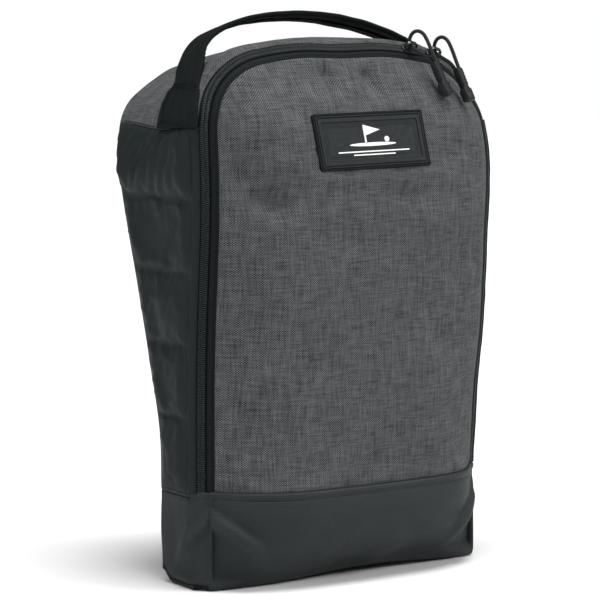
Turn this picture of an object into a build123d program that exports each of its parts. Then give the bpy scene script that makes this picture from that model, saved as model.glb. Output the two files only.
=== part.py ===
"""Golf shoe bag: a wedge-shaped soft case with an arched front flap on a zipper.

Frame, in millimetres: +Z is up, the front faces -Y, and the origin is the middle of the
face that the bag stands on. The outline seen from the front is an arch: two straight
sides, two round corners and a shallow crown. Each layer is that arch at its own inset.
The back leans away from the front above the base band, so the bag is deeper at its top.
"""

import os
from math import asin, cos, degrees, radians, sin, sqrt, tan

from build123d import *

# ---------------------------------------------------------------- driving dimensions
HALF_WIDTH = 118.0  # outside of the gusset, from the middle of the bag
TOP_Z = 369.5  # top of the crown
CORNER_R = 58.0
CROWN_R = 380.0
SEAM_Z = 66.0  # where the base band meets the flap and the sides
QUILT_TOP_Z = 310.0  # where the quilted sides meet the grey top gusset
QUILT_CHANNELS = 5

BASE_FRONT_Y = -28.0
BASE_BACK_Y = 24.0
BACK_UPPER = (300.0, 84.0)  # height and depth of the back at the shoulders
BACK_TOP_Y = 90.0
GUSSET_FRONT_Y = -18.0  # front edge of the gusset, where the zipper bevel starts

WALL = 3.5  # gusset cloth with its foam
LINING = 0.8
BACK_WALL = 4.0
BINDING = (9.0, 1.2)  # depth and thickness of the tape over the inner back seam
FLOOR_T = 3.0
FLOOR_CORNER_R = 6.0
BOARD = (40.0, 1.6)  # depth and thickness of the stiffener on the floor
SIDE_VALLEY = 1.5  # inset of the quilting's cross seams
SIDE_BULGE = 3.0  # how far each quilted channel swells
SEAM_GAP = 0.3  # half the gap between two bodies along the base seam

# The flap swells forward through four outlines: half width, bottom, top, corner radius, y.
FLAP_SECTIONS = [
    (105.8, 0.0, 357.1, 45.8, -31.0),
    (98.0, 10.0, 342.0, 44.0, -43.5),
    (82.0, 30.0, 314.0, 42.0, -54.0),
    (62.0, 52.0, 286.0, 36.0, -59.5),
]
FLAP_CROWN_R = 360.0
# The base band swells to meet it: half width, bottom, y.
BAND_SECTIONS = [
    (117.5, 0.0, BASE_FRONT_Y),
    (105.0, 8.0, -43.0),
    (86.0, 24.0, -54.0),
    (64.0, 46.0, -59.5),
]
CORE_INSET = 0.8  # sideways move of an inner layer, for each millimetre that it moves back
BAND_T = 3.0
PANEL_T = 2.4
FOAM_T = 2.6

# The zipper lies on a 45 degree bevel round the arch. Distances s run along the bevel
# from the gusset's edge, and depths t run inwards from its surface.
TAPE_EDGE_S = 2.2
CHAIN_S = 8.0  # middle of the chain
CHAIN_GAP = 1.0  # room for the sliders' post between the two coils
COIL_W = 2.8
COIL_TOP_T = -0.9
TAPE_T = (1.2, 1.9)
RIM_S = (13.0, 17.0)
RIM_T = (-1.2, 1.1)

SLIDER_LENGTH = 11.0
SLIDER_HALF_W = 4.6
SLIDER_CORNER_R = 2.0
PLATE_T = 1.2
SLIDER_CLEAR = 0.4
FLANGE_W = 0.9
POST = (3.0, 0.6)
BAR_R = 0.7
BAR_T = -7.4  # depth of the crown bar's axis, so 7.4 proud of the bevel
BAR_HALF = 4.4
NOTCH_DEPTH = 6.0  # of the relief for a parked slider
SLIDER_A_ANGLE = 8.6  # along the crown, from the middle of the bag
SLIDER_B_ANGLE = 18.0  # round the right corner, from upright

CORD_R = 1.3
PULL_TURN = {"a": 20.0, "b": 14.0}  # of each pull to the bag's right, in degrees
GRIP_W = 5.6
GRIP_CORNER_R = 1.2
GRIP_END = (8.0, 6.6, 9.0)  # width, thickness and length of the fatter foot

PATCH = (90.0, 39.0, 2.0)
PATCH_CENTRE = (0.0, -58.3, 300.0)  # on the patch's back
PATCH_TILT = 10.4
PATCH_R = 1.5
PATCH_GROOVE = (4.5, 1.0, 0.5)  # inset, width and depth of the stitched groove

HANDLE_PIVOT = (2.0, 342.0)  # y and z of the line that the handle swings about
HANDLE_LEAN = 33.0
HANDLE_HALF_W = 117.4  # to the middle of the strap
HANDLE_RISE = 52.5
HANDLE_CORNER_R = 46.0
HANDLE_CROWN_R = 260.0
HANDLE_T = 4.0
HANDLE_FOOT_R = 12.0
# The strap's half width at distances along the lean from the pivot: wide, then folded.
HANDLE_FLARE = [(0.0, 12.0), (9.0, 18.0), (13.0, 18.0), (28.0, 11.0), (70.0, 11.0)]
ANCHOR_W = 44.0
ANCHOR_T = 2.0
ANCHOR_TOP_Z = 345.0

FAR = 400.0  # longer than the bag in any direction
OVERCUT = 1.0  # how far cutting shapes run past the face that they open
os.makedirs("parts", exist_ok=True)


# ---------------------------------------------------------------- shared outlines
def arch_geometry(half_width, top, radius, crown_radius):
    """Corner centre (x, z) and the crown's half angle, for corners tangent to the crown."""
    corner_x = half_width - radius
    reach = crown_radius - radius
    corner_z = top - crown_radius + sqrt(reach**2 - corner_x**2)
    return corner_x, corner_z, degrees(asin(corner_x / reach))


def arch_edges(half_width, bottom, top, radius, crown_radius):
    """The open arch, from its lower left end over the crown to its lower right end."""
    corner_x, corner_z, crown = arch_geometry(half_width, top, radius, crown_radius)
    Line((-half_width, bottom), (-half_width, corner_z))
    CenterArc((-corner_x, corner_z), radius, 180, crown - 90)
    CenterArc((0, top - crown_radius), crown_radius, 90 + crown, -2 * crown)
    CenterArc((corner_x, corner_z), radius, 90 - crown, crown - 90)
    Line((half_width, corner_z), (half_width, bottom))


def closed_arch(half_width, bottom, top, radius, crown_radius):
    """The arch as a face, closed along its bottom."""
    with BuildSketch() as face:
        with BuildLine():
            arch_edges(half_width, bottom, top, radius, crown_radius)
            Line((half_width, bottom), (-half_width, bottom))
        make_face()
    return face.sketch


def bag_arch(inset, bottom=-1.0):
    """The bag's own outline, moved inwards by an inset."""
    return closed_arch(
        HALF_WIDTH - inset, bottom, TOP_Z - inset, CORNER_R - inset, CROWN_R - inset
    )


def back_y(z, inset=0.0):
    """Depth of the bag's back face at a height, less an inset."""
    shoulder_z, shoulder_y = BACK_UPPER
    if z <= SEAM_Z:
        return BASE_BACK_Y - inset
    if z <= shoulder_z:
        share = (z - SEAM_Z) / (shoulder_z - SEAM_Z)
        return BASE_BACK_Y + share * (shoulder_y - BASE_BACK_Y) - inset
    share = (z - shoulder_z) / (TOP_Z - shoulder_z)
    return shoulder_y + share * (BACK_TOP_Y - shoulder_y) - inset


def side_profile(back_inset, front_y=None, front_inset=None):
    """Side view of the room between a front and the leaning back, less an inset.

    The front is a depth, or an inset from the back for a band that follows the back.
    """
    heights = [-5.0, SEAM_Z, BACK_UPPER[0], TOP_Z + 5]
    rear = [(back_y(z, back_inset), z) for z in heights]
    if front_y is None:
        fore = [(back_y(z, front_inset), z) for z in reversed(heights)]
    else:
        fore = [(front_y, heights[-1]), (front_y, heights[0])]
    with BuildSketch() as face:
        with BuildLine():
            Polyline(*rear, *fore, close=True)
        make_face()
    return face.sketch


def ring_wall(outer, inner, low, high, profile):
    """The gusset ring between two insets and two heights, cut to a side profile."""
    with BuildPart() as wall:
        with BuildSketch(Plane.XZ.offset(FAR / 4)):
            add(bag_arch(outer))
            add(bag_arch(inner, bottom=-1 - OVERCUT), mode=Mode.SUBTRACT)
            with Locations((0, (low + high) / 2)):
                Rectangle(2 * FAR, high - low, mode=Mode.INTERSECT)
        extrude(amount=-FAR)
        with BuildSketch(Plane.YZ):
            add(profile)
        extrude(amount=FAR, both=True, mode=Mode.INTERSECT)
    return wall


def save(solid, label):
    solid.label = label
    export_step(solid, f"parts/{label}.step")
    print(f"{label}: {solid.volume / 1000:.1f} cm3, solids {len(solid.solids())}")


# ---------------------------------------------------------------- back, gusset and base
with BuildPart() as back_panel:
    with BuildSketch(Plane.XZ.offset(FAR / 4)):
        add(bag_arch(0, bottom=FLOOR_T))
    extrude(amount=-FAR)
    with BuildSketch(Plane.YZ):
        add(side_profile(0.0, front_inset=BACK_WALL))
    extrude(amount=FAR, both=True, mode=Mode.INTERSECT)
save(back_panel.part, "back_panel")

with BuildPart() as back_lining:
    with BuildSketch(Plane.XZ.offset(FAR / 4)):
        add(bag_arch(WALL + LINING, bottom=FLOOR_T + 2))
    extrude(amount=-FAR)
    with BuildSketch(Plane.YZ):
        add(side_profile(BACK_WALL, front_inset=BACK_WALL + LINING))
    extrude(amount=FAR, both=True, mode=Mode.INTERSECT)
save(back_lining.part, "back_lining")

gusset_room = side_profile(BACK_WALL, front_y=GUSSET_FRONT_Y)
gusset_top = ring_wall(0, WALL, QUILT_TOP_Z, TOP_Z, gusset_room)
save(gusset_top.part, "gusset_top")

lining_room = side_profile(BACK_WALL + LINING, front_y=GUSSET_FRONT_Y)
gusset_lining = ring_wall(WALL, WALL + LINING, SEAM_Z, TOP_Z, lining_room)
save(gusset_lining.part, "gusset_lining")

piping_room = side_profile(1.0, front_inset=BACK_WALL)
back_piping = ring_wall(-1.4, 0, SEAM_Z, TOP_Z + 2, piping_room)
save(back_piping.part, "back_piping")

binding_room = side_profile(BACK_WALL + LINING, front_inset=BACK_WALL + LINING + BINDING[0])
back_binding = ring_wall(
    WALL + LINING, WALL + LINING + BINDING[1], SEAM_Z, TOP_Z, binding_room
)
save(back_binding.part, "back_seam_binding")


def quilted_side(side):
    """A quilted panel, whose channels swell outwards between the cross seams."""
    valley = HALF_WIDTH - SIDE_VALLEY
    inner = HALF_WIDTH - WALL
    pitch = (QUILT_TOP_Z - SEAM_Z) / QUILT_CHANNELS
    with BuildPart() as quilt:
        with BuildSketch(Plane.XZ.offset(FAR / 4)):
            with BuildLine():
                for channel in range(QUILT_CHANNELS):
                    low = SEAM_Z + channel * pitch
                    ThreePointArc(
                        (side * valley, low),
                        (side * (valley + SIDE_BULGE), low + pitch / 2),
                        (side * valley, low + pitch),
                    )
                Polyline(
                    (side * valley, QUILT_TOP_Z),
                    (side * inner, QUILT_TOP_Z),
                    (side * inner, SEAM_Z),
                    (side * valley, SEAM_Z),
                )
            make_face()
        extrude(amount=-FAR)
        with BuildSketch(Plane.YZ):
            add(gusset_room)
        extrude(amount=FAR, both=True, mode=Mode.INTERSECT)
    return quilt


for word, side in (("left", -1), ("right", 1)):
    save(quilted_side(side).part, f"gusset_quilt_{word}")

for word, side in (("left", -1), ("right", 1)):
    with BuildPart() as base_side:
        with BuildSketch(Plane.XY.offset(FLOOR_T)):
            base_depth = BASE_BACK_Y - BACK_WALL - BASE_FRONT_Y
            with Locations((side * (BAND_SECTIONS[0][0] - WALL / 2), BASE_FRONT_Y + base_depth / 2)):
                Rectangle(WALL, base_depth)
        extrude(amount=SEAM_Z - FLOOR_T)
    save(base_side.part, f"base_side_{word}")

with BuildPart() as base_floor:
    floor_depth = BASE_BACK_Y - BASE_FRONT_Y
    with BuildSketch(Plane.XY):
        with Locations((0, BASE_BACK_Y - floor_depth / 2)):
            RectangleRounded(2 * BAND_SECTIONS[0][0], floor_depth, FLOOR_CORNER_R)
    extrude(amount=FLOOR_T)
save(base_floor.part, "base_floor")

with BuildPart() as base_board:
    with BuildSketch(Plane.XY.offset(FLOOR_T)):
        RectangleRounded(2 * (BAND_SECTIONS[0][0] - 2 * WALL), BOARD[0], FLOOR_CORNER_R)
    extrude(amount=BOARD[1])
save(base_board.part, "base_board")


# ---------------------------------------------------------------- swelling front
def band_solid(shift):
    """The base band's swollen front as a solid, moved inwards by shift on every side."""
    with BuildPart() as solid:
        for half_width, bottom, y in BAND_SECTIONS:
            low = bottom + (shift if bottom else CORE_INSET * shift)
            high = SEAM_Z - SEAM_GAP + (OVERCUT if shift else 0.0)
            with BuildSketch(Plane.XZ.offset(-(y + shift))):
                with Locations((0, (low + high) / 2)):
                    Rectangle(2 * (half_width - CORE_INSET * shift), high - low)
        loft(ruled=True)
    return solid


with BuildPart() as base_front_band:
    add(band_solid(0).part)
    add(band_solid(BAND_T).part, mode=Mode.SUBTRACT)
    with BuildSketch(Plane.XZ.offset(-BASE_FRONT_Y)):
        with Locations((0, (SEAM_Z + FLOOR_T) / 2)):
            Rectangle(2 * (BAND_SECTIONS[0][0] - BAND_T), SEAM_Z - FLOOR_T + OVERCUT)
    extrude(amount=-BAND_T - OVERCUT, mode=Mode.SUBTRACT)
save(base_front_band.part, "base_front_band")


def flap_solid(shift):
    """The flap's swollen front as a solid above the seam, moved inwards by shift."""
    with BuildPart() as solid:
        for half_width, bottom, top, radius, y in FLAP_SECTIONS:
            with BuildSketch(Plane.XZ.offset(-(y + shift))):
                inset = CORE_INSET * shift
                outline = (half_width - inset, bottom, top - inset, radius - inset)
                add(closed_arch(*outline, FLAP_CROWN_R))
        loft(ruled=True)
        with BuildSketch(Plane.XZ.offset(FAR / 4)):
            with Locations((0, SEAM_Z + SEAM_GAP + FAR / 2)):
                Rectangle(FAR, FAR)
        extrude(amount=-FAR / 2, mode=Mode.INTERSECT)
    return solid


def flap_layer(outer_shift, inner_shift):
    with BuildPart() as layer:
        add(flap_solid(outer_shift).part)
        add(flap_solid(inner_shift).part, mode=Mode.SUBTRACT)
    return layer


save(flap_layer(0, PANEL_T).part, "front_panel")
save(flap_layer(PANEL_T, PANEL_T + FOAM_T).part, "front_foam")
save(flap_layer(PANEL_T + FOAM_T, PANEL_T + FOAM_T + LINING).part, "front_lining")

with BuildPart() as label_patch:
    patch_plane = Plane(
        origin=PATCH_CENTRE,
        x_dir=(1, 0, 0),
        z_dir=(0, -cos(radians(PATCH_TILT)), sin(radians(PATCH_TILT))),
    )
    with BuildSketch(patch_plane):
        RectangleRounded(PATCH[0], PATCH[1], PATCH_R)
    extrude(amount=PATCH[2])
    with BuildSketch(patch_plane.offset(PATCH[2])):
        outer = 2 * PATCH_GROOVE[0]
        inner = outer + 2 * PATCH_GROOVE[1]
        RectangleRounded(PATCH[0] - outer, PATCH[1] - outer, PATCH_R)
        RectangleRounded(PATCH[0] - inner, PATCH[1] - inner, PATCH_R, mode=Mode.SUBTRACT)
    extrude(amount=-PATCH_GROOVE[2], mode=Mode.SUBTRACT)
save(label_patch.part, "label_patch")


# ---------------------------------------------------------------- zipper
def bevel_point(s, t):
    """A point of the zipper's section on the left side, in the XY plane."""
    return (
        -HALF_WIDTH + (s + t) * cos(radians(45)),
        GUSSET_FRONT_Y + (t - s) * cos(radians(45)),
    )


def bevel_strip(s_low, s_high, t_low, t_high):
    """A strip that follows the arch on the zipper's bevel."""
    corners = [(s_low, t_low), (s_high, t_low), (s_high, t_high), (s_low, t_high)]
    with BuildPart() as strip:
        with BuildLine(Plane.XZ) as run:
            arch_edges(HALF_WIDTH, SEAM_Z + SEAM_GAP, TOP_Z, CORNER_R, CROWN_R)
        with BuildSketch(Plane.XY.offset(SEAM_Z + SEAM_GAP)):
            with BuildLine():
                Polyline(*[bevel_point(s, t) for s, t in corners], close=True)
            make_face()
        sweep(path=run.wires()[0])
    return strip


def chain_location(arc_x, arc_z, arc_radius, angle):
    """The chain's middle on an arc of the arch, angle degrees from upright."""
    inset = CHAIN_S * cos(radians(45))
    out = Vector(sin(radians(angle)), 0, cos(radians(angle)))
    along = Vector(cos(radians(angle)), 0, -sin(radians(angle)))
    middle = Vector(arc_x, GUSSET_FRONT_Y - inset, arc_z) + out * (arc_radius - inset)
    return Plane(origin=middle, x_dir=along, z_dir=out + Vector(0, -1, 0))


corner_x, corner_z, _ = arch_geometry(HALF_WIDTH, TOP_Z, CORNER_R, CROWN_R)
SLIDERS = {
    "a": chain_location(0, TOP_Z - CROWN_R, CROWN_R, SLIDER_A_ANGLE),
    "b": chain_location(corner_x, corner_z, CORNER_R, SLIDER_B_ANGLE),
}


def outer_strip(s_low, s_high, t_low, t_high):
    """A strip on the gusset's half of the chain, relieved where the sliders are parked.

    The sliders swing away with the flap, so their plates need a way out of this half.
    """
    with BuildPart() as strip:
        add(bevel_strip(s_low, s_high, t_low, t_high).part)
        for place in SLIDERS.values():
            with Locations(place.location):
                Box(
                    SLIDER_LENGTH + 2 * SLIDER_CLEAR,
                    SLIDER_HALF_W + SLIDER_CLEAR,
                    2 * NOTCH_DEPTH,
                    align=(Align.CENTER, Align.MIN, Align.CENTER),
                    mode=Mode.SUBTRACT,
                )
    return strip


outer_edge_s = CHAIN_S - CHAIN_GAP / 2
inner_edge_s = CHAIN_S + CHAIN_GAP / 2
coil_t = (COIL_TOP_T, TAPE_T[0])
save(outer_strip(TAPE_EDGE_S, outer_edge_s, *TAPE_T).part, "zipper_tape_outer")
save(outer_strip(outer_edge_s - COIL_W, outer_edge_s, *coil_t).part, "zipper_coil_outer")
save(bevel_strip(inner_edge_s, RIM_S[1], *TAPE_T).part, "zipper_tape_inner")
save(bevel_strip(inner_edge_s, inner_edge_s + COIL_W, *coil_t).part, "zipper_coil_inner")
save(bevel_strip(*RIM_S, *RIM_T).part, "zipper_rim")


def slider(location):
    """A slider on the chain. Local X runs along the chain, Y across it and Z outwards."""
    top_plate = -COIL_TOP_T + SLIDER_CLEAR
    under = -TAPE_T[1] - SLIDER_CLEAR
    with BuildPart() as body:
        with BuildSketch(Plane.XY.offset(top_plate)):
            RectangleRounded(SLIDER_LENGTH, 2 * SLIDER_HALF_W, SLIDER_CORNER_R)
        extrude(amount=PLATE_T)
        with BuildSketch(Plane.XY.offset(under)):
            RectangleRounded(SLIDER_LENGTH, 2 * SLIDER_HALF_W, SLIDER_CORNER_R)
        extrude(amount=-PLATE_T)
        with BuildSketch(Plane.XY.offset(top_plate)):
            with Locations((0, SLIDER_HALF_W - FLANGE_W / 2), (0, FLANGE_W / 2 - SLIDER_HALF_W)):
                Rectangle(SLIDER_LENGTH - 2 * SLIDER_CORNER_R, FLANGE_W)
        extrude(amount=-(top_plate + TAPE_T[0] - SLIDER_CLEAR))
        with BuildSketch(Plane.XY.offset(under)):
            Rectangle(*POST)
        extrude(amount=top_plate - under)
        with BuildSketch(Plane.XZ):
            bar_z, leg = -BAR_T, 2 * BAR_R
            with BuildLine():
                Polyline(
                    (-BAR_HALF, top_plate + PLATE_T / 2),
                    (-BAR_HALF, bar_z - BAR_R),
                    (-BAR_HALF + leg, bar_z + BAR_R),
                    (BAR_HALF - leg, bar_z + BAR_R),
                    (BAR_HALF, bar_z - BAR_R),
                    (BAR_HALF, top_plate + PLATE_T / 2),
                    (BAR_HALF - leg, top_plate + PLATE_T / 2),
                    (BAR_HALF - leg, bar_z - BAR_R),
                    (-BAR_HALF + leg, bar_z - BAR_R),
                    (-BAR_HALF + leg, top_plate + PLATE_T / 2),
                    close=True,
                )
            make_face()
        extrude(amount=BAR_R, both=True)
    return body.part.moved(location)


def pull_plane(bar, turn):
    """The plane that a pull hangs in: local X forward and a little sideways, local Y up."""
    forward = Vector(sin(radians(turn)), -cos(radians(turn)), 0)
    return Plane(origin=bar, x_dir=forward, z_dir=forward.cross(Vector(0, 0, 1)))


def cord_radii(points):
    """A bend radius for each inner point, from its shorter run and its turn."""
    radii = []
    for before, here, after in zip(points, points[1:], points[2:]):
        turn = radians((here - before).get_angle(after - here))
        shorter = min((here - before).length, (after - here).length)
        radii.append(0.45 * shorter / tan(turn / 2))
    return radii


def cord_tube(points, label):
    radii = cord_radii(points)
    print(label, "bend radii", [round(r, 1) for r in radii])
    with BuildPart() as tube:
        with BuildLine() as line:
            FilletPolyline(*points, radius=radii)
        with BuildSketch(Plane(origin=line.line @ 0, z_dir=line.line % 0)):
            Circle(CORD_R)
        sweep(transition=Transition.RIGHT)
    print(label, "length", round(line.wires()[0].length, 2))
    return tube


# The cord in its pull's plane, from one end in the grip, over its top fold, down behind
# the bar, under it and back to the other end in the grip.
CORD_ROUTE = [
    (21.1, -16.9),
    (17.5, -9.8),
    (12.4, 1.2),
    (8.8, 6.6),
    (4.4, 8.6),
    (0.2, 7.6),
    (-2.6, 4.2),
    (-3.3, -1.8),
    (3.6, -5.7),
    (14.2, -10.5),
    (18.7, -18.1),
]
GRIP_TOP = (17.6, -13.0)
GRIP_FOOT = (29.0, -35.5)


def pull_grip(plane):
    """The moulded grip: a square stem on the cord's ends and a thicker foot."""
    top, foot = (plane.from_local_coords(Vector(*p, 0)) for p in (GRIP_TOP, GRIP_FOOT))
    down = foot - top
    stem = Plane(origin=top, x_dir=plane.z_dir, z_dir=down)
    with BuildPart() as grip:
        with BuildSketch(stem):
            RectangleRounded(GRIP_W, GRIP_W, GRIP_CORNER_R)
        extrude(amount=down.length - GRIP_END[2])
        with BuildSketch(stem.offset(down.length - GRIP_END[2])):
            RectangleRounded(GRIP_END[0], GRIP_END[1], GRIP_CORNER_R)
        extrude(amount=GRIP_END[2])
    return grip


for letter, place in SLIDERS.items():
    save(slider(place.location), f"slider_{letter}")
    bar = place.origin + place.z_dir * -BAR_T
    plane = pull_plane(bar, PULL_TURN[letter])
    route = [plane.from_local_coords(Vector(*point, 0)) for point in CORD_ROUTE]
    cord = cord_tube(route, f"pull_{letter}_cord")
    with BuildPart() as grip:
        add(pull_grip(plane).part)
        add(cord.part, mode=Mode.SUBTRACT)
    save(cord.part, f"pull_{letter}_cord")
    save(grip.part, f"pull_{letter}_grip")
    print(f"slider {letter}: bar {tuple(bar)}, along {tuple(place.x_dir)}")
    print("cord points, m:", [tuple(round(c / 1000, 5) for c in p) for p in route])


# ---------------------------------------------------------------- handle
for word, side in (("left", -1), ("right", 1)):
    with BuildPart() as anchor:
        with BuildSketch(Plane.XZ.offset(-HANDLE_PIVOT[0])):
            add(bag_arch(-ANCHOR_T))
            add(bag_arch(0, bottom=-1 - OVERCUT), mode=Mode.SUBTRACT)
            with Locations((side * FAR / 2, (QUILT_TOP_Z + ANCHOR_TOP_Z) / 2)):
                Rectangle(FAR, ANCHOR_TOP_Z - QUILT_TOP_Z, mode=Mode.INTERSECT)
        extrude(amount=ANCHOR_W / 2, both=True)
    save(anchor.part, f"handle_anchor_{word}")


def handle_arch(half_t):
    """The strap's arch in the plane of its lean, moved outwards by half_t."""
    return closed_arch(
        HANDLE_HALF_W + half_t,
        -HANDLE_FOOT_R - 1,
        HANDLE_RISE + half_t,
        HANDLE_CORNER_R + half_t,
        HANDLE_CROWN_R + half_t,
    )


lean = radians(HANDLE_LEAN)
lean_up = Vector(0, sin(lean), cos(lean))
pivot = Vector(0, *HANDLE_PIVOT)
with BuildPart() as handle_webbing:
    across = Plane(origin=pivot, x_dir=(1, 0, 0), z_dir=Vector(1, 0, 0).cross(lean_up))
    with BuildSketch(across):
        add(handle_arch(HANDLE_T / 2))
        add(handle_arch(-HANDLE_T / 2), mode=Mode.SUBTRACT)
    extrude(amount=FAR / 4, both=True)
    with BuildSketch(Plane(origin=pivot, x_dir=(0, cos(lean), -sin(lean)), z_dir=(1, 0, 0))):
        with BuildLine():
            right_edge = [(half, along) for along, half in HANDLE_FLARE]
            left_edge = [(-half, along) for along, half in reversed(HANDLE_FLARE)]
            Polyline(*right_edge, *left_edge, close=True)
        make_face()
        Circle(HANDLE_FOOT_R)
    extrude(amount=FAR, both=True, mode=Mode.INTERSECT)
save(handle_webbing.part, "handle_webbing")
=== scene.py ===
"""Golf shoe bag: its cloth, zipper, handle and pulls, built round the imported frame.

Lengths are in millimetres until a mesh is made, where MM turns them into metres. The bag faces
-Y and stands on Z = 0. Places round the arch are given by h, the run from the middle of the
crown, positive to the right, and by how far they lie inside the bag's outline.
"""

from math import acos, asin, atan2, copysign, cos, exp, hypot, pi, radians, sin, sqrt

import bmesh
import bpy
import numpy as np
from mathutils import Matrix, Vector, noise
from mathutils.geometry import delaunay_2d_cdt


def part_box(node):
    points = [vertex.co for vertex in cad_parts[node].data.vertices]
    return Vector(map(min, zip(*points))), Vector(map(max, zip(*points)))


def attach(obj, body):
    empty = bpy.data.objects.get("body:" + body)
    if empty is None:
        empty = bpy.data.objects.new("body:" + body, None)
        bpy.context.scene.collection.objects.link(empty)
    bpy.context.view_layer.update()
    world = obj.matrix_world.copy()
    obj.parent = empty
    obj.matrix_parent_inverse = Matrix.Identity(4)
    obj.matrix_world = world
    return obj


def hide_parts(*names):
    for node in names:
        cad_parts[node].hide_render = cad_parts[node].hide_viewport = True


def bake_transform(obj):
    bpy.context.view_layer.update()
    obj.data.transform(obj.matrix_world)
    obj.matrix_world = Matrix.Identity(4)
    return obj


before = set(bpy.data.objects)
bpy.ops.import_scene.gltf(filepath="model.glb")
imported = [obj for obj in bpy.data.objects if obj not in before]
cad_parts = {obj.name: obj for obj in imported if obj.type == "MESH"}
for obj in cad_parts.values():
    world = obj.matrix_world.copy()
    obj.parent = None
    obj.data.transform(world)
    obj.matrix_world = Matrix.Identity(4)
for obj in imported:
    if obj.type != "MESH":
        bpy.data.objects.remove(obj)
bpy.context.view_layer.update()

MM = 0.001


# ---------------------------------------------------------------- sizes
def corner(node, end, axis):
    """One coordinate of a CAD node's box, in millimetres."""
    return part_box(node)[end][axis] / MM


HALF_WIDTH = corner("gusset_top", 1, 0)
TOP_Z = corner("gusset_top", 1, 2)
QUILT_TOP_Z = corner("gusset_top", 0, 2)
GUSSET_Y = corner("gusset_top", 0, 1)
SEAM_Z = corner("gusset_lining", 0, 2)
CORNER_R = 58.0  # radius of the outline's two upper corners
CROWN_R = 380.0  # and of the crown between them
CORNER_X = HALF_WIDTH - CORNER_R
CORNER_Z = TOP_Z - CROWN_R + sqrt((CROWN_R - CORNER_R) ** 2 - CORNER_X**2)
CROWN_ANGLE = asin(CORNER_X / (CROWN_R - CORNER_R))
CROWN_RUN = CROWN_R * CROWN_ANGLE
CORNER_RUN = CORNER_R * (pi / 2 - CROWN_ANGLE)
ARCH_RUN = CROWN_RUN + CORNER_RUN + CORNER_Z - SEAM_Z

PANEL_INSET = 12.2  # of the flap's cloth inside the bag's outline
PANEL_Y = -31.0  # edge of the flap's cloth
PANEL_SWELL = (34.0, 22.0, 1.2)  # how far the flap swells, over what run, and how squarely
SEAM_LIST = [SEAM_Z, 116.0, 165.0, 213.5, 262.5]  # heights of the quilting's cross seams
REAR = [(0, 18.5), (66, 19.5), (98, 20.5), (151, 35), (197, 49.5), (257, 69), (300, 81),
        (335, 86), (370, 89)]  # height and depth of the back
RIGHT_SIDE = [(0, 1.5), (60, 0.5), (75, 1.0), (96, 2.7), (117, 3.8), (138, 6.0), (158, 8.2),
              (200, 9.0), (240, 8.2), (262, 9.0), (285, 9.2), (308, 6.4), (328, 2.2), (342, 0),
              (370, 0)]  # height and fullness of the right side
SHOULDER = [(0, 7.5), (30, 11), (65, 15.5), (95, 17.8), (112, 15.5), (130, 10), (150, 5),
            (178, 0)]  # run from the crown's middle and droop of the rear shoulder
LEAN = (7.0, 262, 75)  # how far the upper front stands forward, at what height and spread
CROWN_SAG = (2.6, -2, 26)  # how far the crown sags, at what x and spread
BEVEL = cos(radians(45))  # the zipper lies at 45 degrees between the flap and the gusset
SEAM_BEND = 36.0  # height above its seam given to bend for the flap's cloth
HANDLE_BEND = (336.0, 366.0)  # heights given to bend for the handle's webbing
SIDES = {"left": -1, "right": 1}


# ---------------------------------------------------------------- shared shapes
def smooth(t):
    """Runs softly from 0 to 1 as t does."""
    t = min(max(t, 0.0), 1.0)
    return t * t * (3 - 2 * t)


def bump(value, middle, width):
    """1 at the middle, and fading softly over the width on both sides."""
    return exp(-(((value - middle) / width) ** 2))


def dents(x, z, table):
    """Depth at a place of a table of soft hollows: x, z, depth, and spread across and up."""
    return sum(depth * bump(x, at_x, wide) * bump(z, at_z, tall)
               for at_x, at_z, depth, wide, tall in table)


def wobble(x, y, z, scale, seed=0.0):
    """Smooth noise from -1 to 1 that repeats no pattern within the bag."""
    return noise.noise(Vector((x / scale + seed, y / scale - seed, z / scale + 2 * seed)))


def curve(stops):
    """A function whose line runs smoothly through (place, height) stops."""
    places, heights = (np.array(column, float) for column in zip(*stops))
    slopes = np.gradient(heights, places)

    def height(value):
        i = min(max(int(np.searchsorted(places, value)) - 1, 0), len(places) - 2)
        span = places[i + 1] - places[i]
        t = min(max((value - places[i]) / span, 0.0), 1.0)
        start = heights[i] * (1 + 2 * t) + span * slopes[i] * t
        end = heights[i + 1] * (3 - 2 * t) - span * slopes[i + 1] * (1 - t)
        return float(start * (1 - t) ** 2 + end * t**2)

    return height


def arch(h, inset):
    """x, z and the outward direction of the bag's outline, moved inwards by inset."""
    run = abs(h)
    if run < CROWN_RUN:
        angle = run / CROWN_R
        x = (CROWN_R - inset) * sin(angle)
        z = TOP_Z - CROWN_R + (CROWN_R - inset) * cos(angle)
    elif run < CROWN_RUN + CORNER_RUN:
        angle = CROWN_ANGLE + (run - CROWN_RUN) / CORNER_R
        x = CORNER_X + (CORNER_R - inset) * sin(angle)
        z = CORNER_Z + (CORNER_R - inset) * cos(angle)
    else:
        angle = pi / 2
        x = HALF_WIDTH - inset
        z = CORNER_Z - (run - CROWN_RUN - CORNER_RUN)
    return copysign(x, h), z, copysign(sin(angle), h), cos(angle)


def inside(x, z):
    """How far a point lies inside the bag's outline."""
    x = abs(x)
    centre_z = TOP_Z - CROWN_R
    if atan2(x, z - centre_z) < CROWN_ANGLE:
        return min(CROWN_R - hypot(x, z - centre_z), HALF_WIDTH - x)
    if z > CORNER_Z:
        return CORNER_R - hypot(x - CORNER_X, z - CORNER_Z)
    return HALF_WIDTH - x


rear_y = curve(REAR)
right_side = curve(RIGHT_SIDE)
slack_shoulder = curve(SHOULDER)


def droop(h, y):
    """How far the top gusset sinks towards the bag's slack rear shoulders."""
    return slack_shoulder(abs(h)) * smooth((y + 14) / 78)


def bevel(h, s, t):
    """A point of the zipper: s along its bevel from the gusset's edge, t inwards from it."""
    x, z, _, _ = arch(h, (s + t) * BEVEL)
    return x, GUSSET_Y + (t - s) * BEVEL, z


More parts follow.
